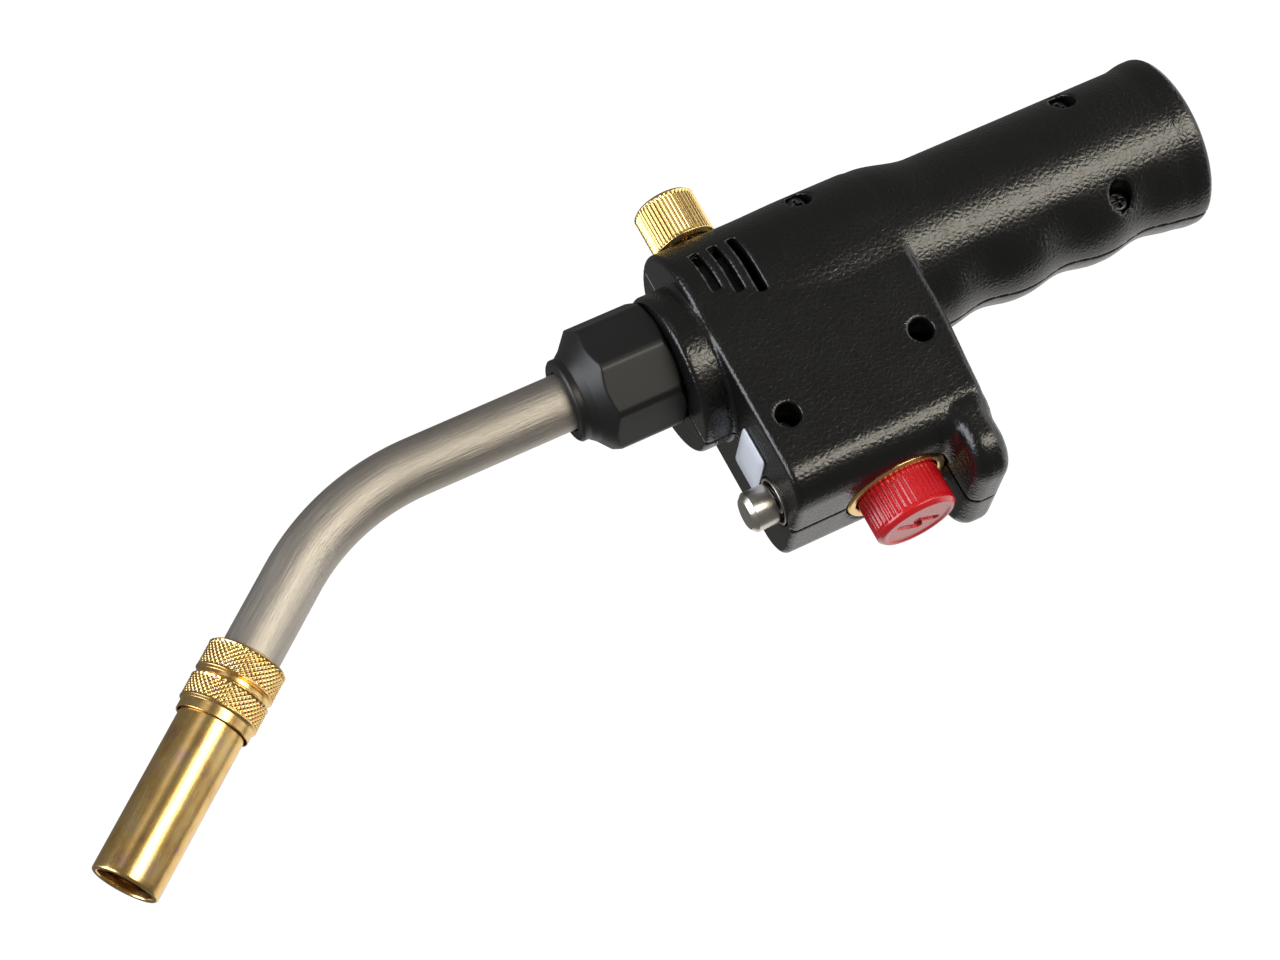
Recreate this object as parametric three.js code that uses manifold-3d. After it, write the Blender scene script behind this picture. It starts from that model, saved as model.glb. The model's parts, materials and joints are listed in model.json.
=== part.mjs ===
// Hand-held gas torch for a screw-on cylinder, built as it comes apart on a bench.
// Millimetres. +Z runs along the handle towards the burner, +X is the side of the flow
// knob, -X the side of the red button, and the two housing halves meet in the plane Y = 0.
// The origin is the middle of the gas inlet's mouth, at the handle's rear end.
import * as THREE from 'three';
import { mergeVertices } from 'three/addons/utils/BufferGeometryUtils.js';
import Module from 'manifold-3d';

const wasm = await Module();
wasm.setup();

// ---- fits ------------------------------------------------------------------------------
const GAP = 0.3; // between pieces that touch on the real torch
const RUN = 0.35; // round a piece that turns or slides
const OVERLAP = 0.5; // how far joined shapes sink into each other
const EDGE = 0.5; // broken edge on a turned piece

// ---- gas inlet -------------------------------------------------------------------------
const THREAD_R = 12.1; // inside the 1 in - 20 cylinder thread
const THREAD_DEPTH = 13;
const INLET_WALL = 3.5;
const INLET_LENGTH = 17;
const INLET_SETBACK = 0.6;
const INLET_NECK_R = 6;
const INLET_NECK_LENGTH = 8.5;
const GAS_WAY_R = 2;
const GASKET_THICKNESS = 1.5;
const PROBE_R = 1.6;
const PROBE_BORE_R = 0.7;
const PROBE_FLANGE_R = 6.6;
const PROBE_REACH = 4.6;
const FILTER_LENGTH = 2.4;
const PIPE_R = 3;
const PIPE_WALL = 0.9;
const PIPE_LAP = 1; // how far a pipe reaches past the wall it enters
const INLET_R = THREAD_R + INLET_WALL;
const INLET_END_Z = INLET_SETBACK + INLET_LENGTH;
const CUP_FLOOR_Z = INLET_SETBACK + THREAD_DEPTH;
const NECK_END_Z = INLET_END_Z + INLET_NECK_LENGTH;
const FILTER_Z = INLET_END_Z + 2;
const PIPE_START_Z = FILTER_Z + FILTER_LENGTH + GAP;
const PIPE_SOCKET_R = PIPE_R + GAP;

// ---- housing ---------------------------------------------------------------------------
const WALL = 2.4;
const GRIP_WALL = 3.1; // round the inlet
const HANDLE_R = INLET_R + GAP + GRIP_WALL;
const RIM_R = HANDLE_R + 0.7; // the flared rear end
const RIM_LENGTH = 7;
const BULKHEAD = 2.4; // housing wall round the inlet's neck
const GROOVE_COUNT = 3;
const GROOVE_DEPTH = 1.3; // finger grooves under the handle
const GROOVE_R = 26;
const GROOVE_PITCH = 20.5;
const GROOVE_FIRST_Z = 15.5;
const HANDLE_LENGTH = 74.5; // to the rear wall of the deep part
const BODY_LENGTH = 46;
const BODY_DEPTH = 47.5; // how far the deep part reaches to -X
const BODY_RISE = 2.5; // of the body's top above the handle's
const BODY_CORNER_R = 8.5;
const TOP_STEP_SETBACK = 15; // where the top starts to rise, before the rear wall
const TOP_STEP_LENGTH = 10;
const GUARD_DROP = 10.8; // how far the finger guard hangs below the deep part
const GUARD_THICKNESS = 8.4;
const NOSE_SET_DOWN = 4; // the nose boss sits this far towards the button side
const NOSE_LENGTH = 7;
const BODY_REAR_Z = HANDLE_LENGTH;
const BODY_FRONT_Z = BODY_REAR_Z + BODY_LENGTH;
const BODY_TOP_X = HANDLE_R + BODY_RISE;
const NOSE_END_Z = BODY_FRONT_Z + NOSE_LENGTH;
const BULKHEAD_Z = INLET_END_Z + GAP;
const HANDLE_BORE_R = HANDLE_R - GROOVE_DEPTH - WALL;
const GUARD_END_X = -BODY_DEPTH - GUARD_DROP;
const GUARD_FRONT_Z = BODY_REAR_Z + GUARD_THICKNESS;

// ---- housing screws --------------------------------------------------------------------
const SCREW_WELL_R = 2.8;
const SCREW_HEAD_R = 2.4;
const SCREW_HEAD_LENGTH = 2;
const SCREW_R = 1.4;
const SCREW_LENGTH = 17;
const SCREW_POINT_LENGTH = 1.5;
const SCREW_SEAT_DEPTH = 11; // depth of the wells
const BOSS_WALL = 1.4;
const SCREW_SEAT_Y = SCREW_SEAT_DEPTH - HANDLE_R;
const BOSS_R = SCREW_WELL_R + BOSS_WALL;
const REAR_SCREW_Z = BULKHEAD_Z + 4.4;
const REAR_SCREW_X = INLET_NECK_R + GAP + BOSS_R + 2.1;
const SCREW_PLACES = [
  [-REAR_SCREW_X, REAR_SCREW_Z],
  [REAR_SCREW_X, REAR_SCREW_Z],
  [BODY_TOP_X - 5.5, BODY_REAR_Z + 12],
  [23.3 - BODY_DEPTH, BODY_REAR_Z + 5.1],
  [18.1 - BODY_DEPTH, BODY_FRONT_Z - 6.3],
];

// ---- gas regulator -----------------------------------------------------------------------
const REGULATOR_R = HANDLE_BORE_R - 2.9;
const REGULATOR_Z = BODY_REAR_Z - 27.5;
const REGULATOR_CUP = 10;
const REGULATOR_CAP = 12;
const REGULATOR_WALL = 1.8;
const DIAPHRAGM_THICKNESS = 0.8;
const PILOT_R = 2.4;
const PILOT_BORE_R = 0.9;
const PILOT_REACH = 4;
const REGULATOR_JOINT_Z = REGULATOR_Z + REGULATOR_CUP;
const CAP_Z = REGULATOR_JOINT_Z + DIAPHRAGM_THICKNESS + 2 * GAP;
const CAP_END_Z = CAP_Z + REGULATOR_CAP;

// ---- red button, its ring and the lock pin -----------------------------------------------
const BUTTON_R = 9.4;
const BUTTON_PROUD = 9.5; // how far it stands out of the body
const BUTTON_TRAVEL = 5;
const BUTTON_FLANGE_R = BUTTON_R + 0.7;
const BUTTON_FLANGE = 1.5;
const BUTTON_WALL = 1.9;
const BUTTON_CROWN = 11.5; // solid length at the finger end
const RING_SLEEVE_R = BUTTON_R + RUN + 0.85;
const RING_FLANGE_R = RING_SLEEVE_R + 1.1;
const RING_FLANGE = 1.3;
const RING_LENGTH = 6.9;
const RING_PROUD = 0.2;
const RING_OFF_GUARD = 0.7;
const BUTTON_Z = GUARD_FRONT_Z + RING_OFF_GUARD + RING_FLANGE_R;
const BUTTON_END_X = -BODY_DEPTH - BUTTON_PROUD;
const BUTTON_FLOOR_X = BUTTON_END_X + BUTTON_CROWN;
const RING_FACE_X = -BODY_DEPTH - RING_PROUD;
const SLEEVE_END_X = RING_FACE_X + RING_LENGTH;
const BUTTON_FLANGE_X = SLEEVE_END_X + GAP;
const BUTTON_TOP_X = BUTTON_FLANGE_X + BUTTON_FLANGE;
const PIN_HEAD_R = 4.5;
const PIN_HEAD_LENGTH = 6;
const PIN_PROUD = 7;
const PIN_CHAMFER = 1;
const PIN_STEM_R = 1.6;
const PIN_BUSH_WALL = 0.5;
const PIN_BUSH_FLOOR = 1;
const PIN_BUSH_PROUD = 0.3;
const PIN_RIB = 1.6;
const PIN_RIB_HALF = 5;
const PIN_CLIP_R = 3.2;
const PIN_SPRING_R = 2.9;
const PIN_STEM_PAST_RIB = 1;
const PIN_X = 8.1 - BODY_DEPTH;
const PIN_END_Z = BODY_FRONT_Z + PIN_PROUD;
const PIN_HEAD_BACK_Z = PIN_END_Z - PIN_HEAD_LENGTH;
const PIN_BUSH_R = PIN_HEAD_R + RUN + PIN_BUSH_WALL;
const PIN_RIB_Z = BODY_FRONT_Z - 4 * WALL;
const PIN_STEM_END_Z = PIN_RIB_Z - PIN_STEM_PAST_RIB;
const PIN_BUSH_Z = PIN_RIB_Z + PIN_RIB + GAP;

// ---- vents, label ----------------------------------------------------------------------
const VENT_COUNT = 3;
const VENT_WIDTH = 2;
const VENT_PITCH = 4.4;
const VENT_FIRST_Z = BODY_FRONT_Z - 15.3;
const VENT_TOP_X = 13;
const VENT_LENGTH = 15;
const VENT_SHORTER = 2.1; // each slot towards the nose ends this much higher
const LABEL_WIDTH = 16.5;
const LABEL_LENGTH = 9.4;
const LABEL_THICKNESS = 0.4;
const LABEL_X = PIN_X + PIN_BUSH_R + GAP + LABEL_LENGTH / 2;

// ---- valve block and piezo igniter -------------------------------------------------------
const KNOB_Z = BODY_FRONT_Z - 11; // axis of the needle valve
const VALVE_Z = BUTTON_Z + 5.3; // axis of the shut-off valve
const PIEZO_Z = BUTTON_Z - 4.1;
const BLOCK_REAR_Z = VALVE_Z - 9.6;
const BLOCK_FRONT_Z = KNOB_Z + 3.7;
const BLOCK_TOP_X = BODY_TOP_X - 8;
const BLOCK_BOTTOM_X = -8.5;
const BLOCK_WIDTH = 13;
const BLOCK_WAY_R = 1.5;
const STUB_R = PIPE_SOCKET_R + 0.9;
const STUB_LENGTH = 8;
const STUB_SOCKET = 5;
const NEEDLE_R = 1.9;
const NEEDLE_TIP_X = 3;
const NEEDLE_TAPER = 3;
const NEEDLE_POINT_R = 0.4;
const SEAL_R = 3.4;
const SEAL_DEPTH = 1.9;
const GLAND_R = 4.2;
const GLAND_LENGTH = 6;
const KNOB_R = 7.2;
const KNOB_LENGTH = 11.9;
const KNOB_GRIP = 8; // how far the spindle reaches into the knob
const KNOB_SINK = 0.3; // of the knob's base below the body's top
const KNOB_SPOT_R = KNOB_R + 1; // flat spot under the knob
const KNOB_SCREW_R = 2.5;
const KNOB_SCREW_SHANK_R = 1.2;
const KNOB_BASE_X = BODY_TOP_X - KNOB_SINK;
const PLUNGER_R = 2.1;
const PLUNGER_LENGTH = 14;
const PLUNGER_PROUD = 3.5;
const PLUNGER_GROOVE_R = 1.3;
const PLUNGER_GROOVE = 1.4;
const PLUNGER_HEAD = 1.8;
const PUSH_ROD_R = 1.7;
const PIEZO_R = 4.6;
const PIEZO_OFF_BLOCK = 3;
const PIEZO_PLUNGER_R = 2;
const LEAD_R = 1.1;
const PLUNGER_X = BLOCK_BOTTOM_X - PLUNGER_PROUD;
const PLUNGER_END_X = PLUNGER_X + PLUNGER_LENGTH;
const PLUNGER_BORE_END_X = BLOCK_TOP_X - 2.5;
const PLUNGER_BORE_R = PLUNGER_R + RUN;
const NEEDLE_BORE_R = NEEDLE_R + RUN;
const BLOCK_STUB_Z = BLOCK_REAR_Z - STUB_LENGTH;
const PIEZO_TOP_X = BLOCK_BOTTOM_X - PIEZO_OFF_BLOCK;
const PIEZO_BOTTOM_X = BUTTON_TOP_X + BUTTON_TRAVEL + 2 * GAP; // clear of the pressed button
const PIEZO_BORE = BUTTON_TRAVEL + 6.5;

// ---- swivel, collar and burner -----------------------------------------------------------
const TUBE_R = 6.35;
const TUBE_WALL = 0.9;
const TUBE_SEAT_R = TUBE_R + GAP;
const SHANK_R = TUBE_SEAT_R + 1.35;
const SHANK_BORE_R = 5.5;
const SHANK_FLANGE_R = SHANK_R + 2;
const SHANK_FLANGE = 1.6;
const BUSH_R = SHANK_R + RUN + 2.45;
const BUSH_FLANGE_R = BUSH_R + 1.8;
const BUSH_FLANGE = 1.4;
const NOSE_R = BUSH_R + 7;
const HOLDER_R = 4.4;
const HOLDER_NECK_R = 3.7;
const HOLDER_BORE_R = 1.2;
const JET_R = 2.6;
const JET_BORE_R = 0.4;
const JET_LENGTH = 2.4;
const JET_SEAT = 2;
const THROAT_R = 3;
const COLLAR_SIDES = 8;
const COLLAR_WALL = 6.3;
const COLLAR_TURN = 6.5; // degrees
const COLLAR_CHAMFER = 1.2;
const COLLAR_SHOULDER = 15.3; // lengths from the nose
const COLLAR_LENGTH = 22.7;
const COLLAR_R = SHANK_R + GAP + COLLAR_WALL; // across the corners
const COLLAR_NECK_R = TUBE_SEAT_R + 2.65;
const COLLAR_Z = NOSE_END_Z + GAP;
const COLLAR_SHOULDER_Z = NOSE_END_Z + COLLAR_SHOULDER;
const COLLAR_END_Z = NOSE_END_Z + COLLAR_LENGTH;
const BUSH_FLANGE_Z = BODY_FRONT_Z - WALL - GAP - BUSH_FLANGE;
const SHANK_Z = BLOCK_FRONT_Z + 0.8;
const SHANK_END_Z = COLLAR_SHOULDER_Z - 2.8;
const JET_Z = BLOCK_FRONT_Z + 7.8;
const TUBE_START_Z = SHANK_END_Z - 6.7;
const BEND_Z = COLLAR_END_Z + 53.4; // where the two straight axes would meet
const BEND_ANGLE = THREE.MathUtils.degToRad(38.25);
const BEND_R = 54;

// Distances along the burner from the bend's corner.
const TUBE_END = 50;
const RING_START = 38.3;
const RING_END = 54.3;
const RING_GROOVE = 45.6;
const RING_GROOVE_DEPTH = 0.6;
const RING_LIP = 2.3;
const TIP_START = RING_GROOVE + 1;
const TIP_END = 90.9;
const TIP_R = TUBE_R + 1.15;
const TIP_WALL = 0.8;
const TIP_SEAT_R = TIP_R + GAP;
const LIP_R = TIP_SEAT_R + 0.3;
const KNURL_R = LIP_R + 0.55;
const MOUTH_R = TIP_R - 1.35;
const SWIRLER_START = 58;
const SWIRLER_LENGTH = 6;
const SWIRL_SLOTS = 8;
const SWIRL_SLOT_WIDTH = 1.6;
const SWIRL_SLOT_DEPTH = 2.2;
const SWIRL_LEAN = 0.35; // radians
const ELECTRODE_R = 0.7;
const ELECTRODE_START = 24;
const ELECTRODE_END = 82;
const INSULATOR_R = 2;
const INSULATOR_PROUD = 5; // each side of the swirler

// ---- materials -------------------------------------------------------------------------
function finish(color, roughness, metalness) {
  return new THREE.MeshStandardMaterial({ color, roughness, metalness });
}
const blackNylon = finish(0x141414, 0.35, 0);
const satinBlack = finish(0x262626, 0.6, 0);
const brass = finish(0xc9a14a, 0.25, 1);
const steel = finish(0xb9b4ac, 0.3, 1);
const zinc = finish(0xa8a9ab, 0.45, 1);
const redPlastic = finish(0xd0202c, 0.3, 0);
const rubber = finish(0x1c1c1e, 0.8, 0);
const ceramic = finish(0xf0ece2, 0.5, 0);
const silverFoil = finish(0xd5d9e2, 0.3, 0.6);
const bluePlastic = finish(0x2b4f8f, 0.5, 0);

// ---- geometry helpers ------------------------------------------------------------------
// Keeps positions only, joins shared corners, drops empty triangles and turns the faces out.
function closed(source) {
  const bare = source.clone();
  bare.deleteAttribute('normal');
  bare.deleteAttribute('uv');
  const merged = mergeVertices(bare, 1e-4);
  const index = Array.from(merged.index.array);
  const p = merged.attributes.position;
  const corner = (i) => new THREE.Vector3().fromBufferAttribute(p, i);
  const kept = [];
  let volume = 0;
  for (let i = 0; i < index.length; i += 3) {
    const [a, b, c] = index.slice(i, i + 3);
    if (a === b || b === c || c === a) continue;
    kept.push([a, b, c]);
    volume += corner(a).dot(corner(b).cross(corner(c)));
  }
  const outward = volume < 0 ? kept.map(([a, b, c]) => [a, c, b]) : kept;
  merged.setIndex(outward.flat());
  return merged;
}

function solid(geometry) {
  const g = closed(geometry);
  return new wasm.Manifold(new wasm.Mesh({
    numProp: 3,
    vertProperties: new Float32Array(g.attributes.position.array),
    triVerts: new Uint32Array(g.index.array),
  }));
}

function geometryOf(manifold) {
  const mesh = manifold.getMesh();
  const g = new THREE.BufferGeometry();
  g.setAttribute('position', new THREE.BufferAttribute(mesh.vertProperties, 3));
  g.setIndex(new THREE.BufferAttribute(mesh.triVerts, 1));
  return g;
}

const joined = (list) => list.reduce((sum, next) => sum.add(next));
const cutBy = (body, cutters) => cutters.reduce((left, next) => left.subtract(next), body);

// A profile of [radius, z] corners turned about the Z axis.
function turned(profile, sides = 20) {
  const points = profile.map(([r, z]) => new THREE.Vector2(r, z));
  return closed(new THREE.LatheGeometry(points, sides).rotateX(Math.PI / 2));
}

function rod(radius, z0, z1, sides = 16) {
  return turned([[0, z0], [radius, z0], [radius, z1], [0, z1]], sides);
}

function ring(outer, inner, z0, z1, sides = 20) {
  return turned([[inner, z0], [outer, z0], [outer, z1], [inner, z1], [inner, z0]], sides);
}

function block(x0, x1, y0, y1, z0, z1) {
  return new THREE.BoxGeometry(x1 - x0, y1 - y0, z1 - z0)
    .translate((x0 + x1) / 2, (y0 + y1) / 2, (z0 + z1) / 2);
}

// Shapes made along Z, laid along X or Y with their Z = 0 end at the given place.
const alongX = (g, y, z) => g.clone().rotateY(Math.PI / 2).translate(0, y, z);
const alongY = (g, x, z) => g.clone().rotateX(-Math.PI / 2).translate(x, 0, z);

const COIL_STEPS = 7; // straight pieces in one turn of a spring

// A coil spring along Z: a round wire swept along a helix, its ends cut square.
function coil(radius, wire, z0, z1, turns) {
  const points = [];
  const steps = Math.round(turns * COIL_STEPS);
  for (let i = 0; i <= steps; i += 1) {
    const t = i / steps;
    const a = t * turns * 2 * Math.PI;
    const z = z0 + wire + t * (z1 - z0 - 2 * wire);
    points.push(new THREE.Vector3(radius * Math.cos(a), radius * Math.sin(a), z));
  }
  return swept(circle(wire, 4), new THREE.CatmullRomCurve3(points), steps);
}

function circle(radius, sides) {
  const shape = new THREE.Shape();
  for (let i = 0; i < sides; i += 1) {
    const a = (i / sides) * 2 * Math.PI;
    if (i === 0) shape.moveTo(radius, 0);
    else shape.lineTo(radius * Math.cos(a), radius * Math.sin(a));
  }
  shape.closePath();
  return shape;
}

function swept(shape, path, steps) {
  return closed(new THREE.ExtrudeGeometry(shape, { extrudePath: path, steps, curveSegments: 1 }));
}

// ---- the assembly ----------------------------------------------------------------------
const torch = new THREE.Group();

function place(name, geometry, material, parent = torch) {
  const mesh = new THREE.Mesh(geometry, material);
  mesh.name = name;
  parent.add(mesh);
  return mesh;
}

// ---- housing shape ---------------------------------------------------------------------
// Cross-section of the body seen along Z: round top, flat sides, round lower corners.
function bodySection(inset, depth) {
  const half = HANDLE_R - inset;
  const corner = Math.max(BODY_CORNER_R - inset, 1);
  const low = -depth + inset;
  const shape = new THREE.Shape();
  shape.moveTo(low, half - corner);
  shape.absarc(low + corner, half - corner, corner, Math.PI, Math.PI / 2, true);
  shape.lineTo(BODY_RISE, half);
  shape.absarc(BODY_RISE, 0, half, Math.PI / 2, -Math.PI / 2, true);
  shape.lineTo(low + corner, -half);
  shape.absarc(low + corner, -half + corner, corner, -Math.PI / 2, -Math.PI, true);
  shape.closePath();
  return shape;
}

// A side outline of [x, z] corners, given the body's full width in Y.
function sideSlab(outline) {
  const half = HANDLE_R + OVERLAP;
  const shape = new THREE.Shape(outline.map(([x, z]) => new THREE.Vector2(x, z)));
  return new THREE.ExtrudeGeometry(shape, { depth: 2 * half, bevelEnabled: false })
    .rotateX(Math.PI / 2).translate(0, half, 0);
}

function bodyBar(inset, depth, z0, z1) {
  const settings = { depth: z1 - z0, bevelEnabled: false, curveSegments: 7 };
  return new THREE.ExtrudeGeometry(bodySection(inset, depth), settings).translate(0, 0, z0);
}

const TOP_STEP_Z = BODY_REAR_Z - TOP_STEP_SETBACK;
const REAR_WALL_LEAN = 2; // the rear wall starts this much earlier under the handle

function bodyOutline() {
  const high = BODY_TOP_X + OVERLAP;
  return [
    [high, TOP_STEP_Z + TOP_STEP_LENGTH],
    [HANDLE_R - OVERLAP, TOP_STEP_Z],
    [-HANDLE_R, BODY_REAR_Z - REAR_WALL_LEAN],
    [-BODY_DEPTH - OVERLAP, BODY_REAR_Z],
    [-BODY_DEPTH - OVERLAP, BODY_FRONT_Z],
    [high, BODY_FRONT_Z],
  ];
}

function guardOutline() {
  const round = GUARD_THICKNESS / 2;
  const steps = 6;
  const points = [[-HANDLE_R, BODY_REAR_Z - REAR_WALL_LEAN]];
  for (let i = 0; i <= steps; i += 1) {
    const a = (i / steps) * Math.PI;
    const x = GUARD_END_X + round - round * Math.sin(a);
    points.push([x, BODY_REAR_Z + round - round * Math.cos(a)]);
  }
  points.push([-HANDLE_R, GUARD_FRONT_Z]);
  return points;
}

function handleSolid() {
  return solid(turned([
    [0, 0], [RIM_R - 1, 0], [RIM_R, 1], [RIM_R, 2],
    [HANDLE_R, RIM_LENGTH], [HANDLE_R, BODY_REAR_Z], [0, BODY_REAR_Z],
  ], 28));
}

// A finger groove is the bite of a large cylinder lying across the handle's underside.
function grooveCutters() {
  const cutters = [];
  for (let i = 0; i < GROOVE_COUNT; i += 1) {
    const z = GROOVE_FIRST_Z + i * GROOVE_PITCH;
    const x = -HANDLE_R + GROOVE_DEPTH - GROOVE_R;
    cutters.push(solid(alongY(rod(GROOVE_R, -2 * HANDLE_R, 2 * HANDLE_R, 48), x, z)));
  }
  return cutters;
}

function outerShape() {
  const ends = [TOP_STEP_Z - OVERLAP, BODY_FRONT_Z];
  const body = solid(sideSlab(bodyOutline()))
    .intersect(solid(bodyBar(0, BODY_DEPTH, ...ends)));
  const guard = solid(sideSlab(guardOutline()))
    .intersect(solid(bodyBar(0, BODY_DEPTH + GUARD_DROP, ...ends)));
  const nose = solid(rod(NOSE_R, BODY_FRONT_Z - 3 * WALL, NOSE_END_Z, 28)
    .translate(-NOSE_SET_DOWN, 0, 0));
  const grip = cutBy(handleSolid(), grooveCutters());
  return joined([grip, body, guard, nose]);
}

// The hollow: the inlet's seat, the handle's bore past the bulkhead, and the body.
function hollowShape() {
  const seat = solid(rod(INLET_R + GAP, -1, BULKHEAD_Z, 24));
  const neck = solid(rod(INLET_NECK_R + GAP, -1, BODY_REAR_Z));
  const bore = solid(rod(HANDLE_BORE_R, BULKHEAD_Z + BULKHEAD, BODY_REAR_Z + 2 * WALL, 20));
  const room = solid(bodyBar(WALL, BODY_DEPTH, BODY_REAR_Z + WALL, BODY_FRONT_Z - WALL));
  return joined([seat, neck, bore, room]);
}

function screwBosses(outer) {
  const bosses = SCREW_PLACES.map(([x, z]) => solid(
    alongY(rod(BOSS_R, -HANDLE_R, HANDLE_R, 12), x, z)));
  return joined(bosses).intersect(outer);
}

function screwHoles() {
  const end = SCREW_SEAT_Y + SCREW_LENGTH + GAP;
  return SCREW_PLACES.flatMap(([x, z]) => [
    solid(alongY(rod(SCREW_WELL_R, -2 * HANDLE_R, SCREW_SEAT_Y, 16), x, z)),
    solid(alongY(rod(SCREW_R + GAP, SCREW_SEAT_Y - 1, end, 8), x, z)),
  ]);
}

function ventCutters() {
  const slots = [];
  const deep = HANDLE_R - 3 * WALL;
  const out = HANDLE_R + OVERLAP;
  for (let i = 0; i < VENT_COUNT; i += 1) {
    const z0 = VENT_FIRST_Z + i * VENT_PITCH - VENT_WIDTH / 2;
    const low = VENT_TOP_X - VENT_LENGTH + i * VENT_SHORTER;
    slots.push(solid(block(low, VENT_TOP_X, deep, out, z0, z0 + VENT_WIDTH)));
    slots.push(solid(block(low, VENT_TOP_X, -out, -deep, z0, z0 + VENT_WIDTH)));
  }
  return slots;
}

function openingCutters() {
  const above = BODY_TOP_X + 1;
  const below = -BODY_DEPTH - 1;
  const flangeFloor = RING_FACE_X + RING_FLANGE + GAP;
  return [
    solid(rod(BUSH_R + GAP, PIN_RIB_Z, NOSE_END_Z + 1, 24)),
    solid(alongX(rod(GLAND_R + 2 * GAP, BLOCK_TOP_X, above), 0, KNOB_Z)),
    solid(alongX(rod(KNOB_SPOT_R, KNOB_BASE_X - GAP, above, 24), 0, KNOB_Z)),
    solid(alongX(rod(RING_SLEEVE_R + GAP, below, -BODY_DEPTH + 3 * WALL, 24), 0, BUTTON_Z)),
    solid(alongX(rod(RING_FLANGE_R + GAP, below, flangeFloor, 24), 0, BUTTON_Z)),
    solid(rod(PIN_BUSH_R + GAP, PIN_RIB_Z + PIN_RIB, BODY_FRONT_Z + 1, 20).translate(PIN_X, 0, 0)),
    solid(rod(PIN_STEM_R + RUN, PIN_RIB_Z - 1, BODY_FRONT_Z, 12).translate(PIN_X, 0, 0)),
  ];
}

// A rib across the body that the lock pin's clip stops against.
function pinRib() {
  const half = HANDLE_R - OVERLAP;
  const [x0, x1] = [PIN_X - PIN_RIB_HALF, PIN_X + PIN_RIB_HALF];
  return solid(block(x0, x1, -half, half, PIN_RIB_Z, PIN_RIB_Z + PIN_RIB));
}

function housingHalves() {
  const outer = outerShape();
  const shell = outer.subtract(hollowShape());
  const ribs = pinRib().intersect(outer);
  const full = cutBy(joined([shell, screwBosses(outer), ribs]),
    [...screwHoles(), ...ventCutters(), ...openingCutters()]);
  const far = 4 * BODY_FRONT_Z;
  const left = full.intersect(solid(block(-far, far, GAP / 2, far, -far, far)));
  const right = full.intersect(solid(block(-far, far, -far, -GAP / 2, -far, far)));
  place('housing_left', geometryOf(left), blackNylon);
  place('housing_right', geometryOf(right), blackNylon);
}

function housingScrews() {
  const head = SCREW_SEAT_Y - GAP;
  const end = SCREW_SEAT_Y + SCREW_LENGTH;
  const shape = turned([
    [0, head - SCREW_HEAD_LENGTH], [SCREW_HEAD_R, head - SCREW_HEAD_LENGTH],
    [SCREW_HEAD_R, head], [SCREW_R, head], [SCREW_R, end - SCREW_POINT_LENGTH],
    [SCREW_R / 4, end], [0, end],
  ], 8);
  SCREW_PLACES.forEach(([x, z], i) => {
    place(`housing_screw_${i + 1}`, alongY(shape, x, z), zinc);
  });
}

function ratingLabel() {
  const z0 = BODY_FRONT_Z + LABEL_THICKNESS / 4;
  const half = LABEL_WIDTH / 2;
  const [x0, x1] = [LABEL_X - LABEL_LENGTH / 2, LABEL_X + LABEL_LENGTH / 2];
  place('rating_label', closed(block(x0, x1, -half, half, z0, z0 + LABEL_THICKNESS)), silverFoil);
}

// ---- gas way from the cylinder to the valve ----------------------------------------------
function gasInlet() {
  place('inlet_body', turned([
    [THREAD_R, INLET_SETBACK], [INLET_R - EDGE, INLET_SETBACK], [INLET_R, INLET_SETBACK + EDGE],
    [INLET_R, INLET_END_Z], [INLET_NECK_R, INLET_END_Z], [INLET_NECK_R, NECK_END_Z],
    [PIPE_SOCKET_R, NECK_END_Z], [PIPE_SOCKET_R, FILTER_Z], [GAS_WAY_R, FILTER_Z],
    [GAS_WAY_R, CUP_FLOOR_Z], [THREAD_R, CUP_FLOOR_Z], [THREAD_R, INLET_SETBACK],
  ], 24), brass);
  const seat = CUP_FLOOR_Z - GAP;
  const face = seat - GASKET_THICKNESS;
  const gasket = ring(THREAD_R - GAP, PROBE_FLANGE_R + 2 * GAP, face, seat);
  place('inlet_gasket', gasket, rubber);
  const tip = seat - PROBE_REACH;
  const end = FILTER_Z - 1;
  place('inlet_probe', turned([
    [PROBE_BORE_R, tip], [PROBE_R, tip], [PROBE_R, face], [PROBE_FLANGE_R, face],
    [PROBE_FLANGE_R, seat], [PROBE_R, seat], [PROBE_R, end], [PROBE_BORE_R, end],
    [PROBE_BORE_R, tip],
  ], 16), brass);
  place('inlet_filter', rod(PIPE_R, FILTER_Z + GAP / 2, FILTER_Z + FILTER_LENGTH), zinc);
  const pipeEnd = REGULATOR_Z + REGULATOR_WALL + PIPE_LAP;
  place('inlet_pipe', ring(PIPE_R, PIPE_R - PIPE_WALL, PIPE_START_Z, pipeEnd, 16), brass);
}

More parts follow.
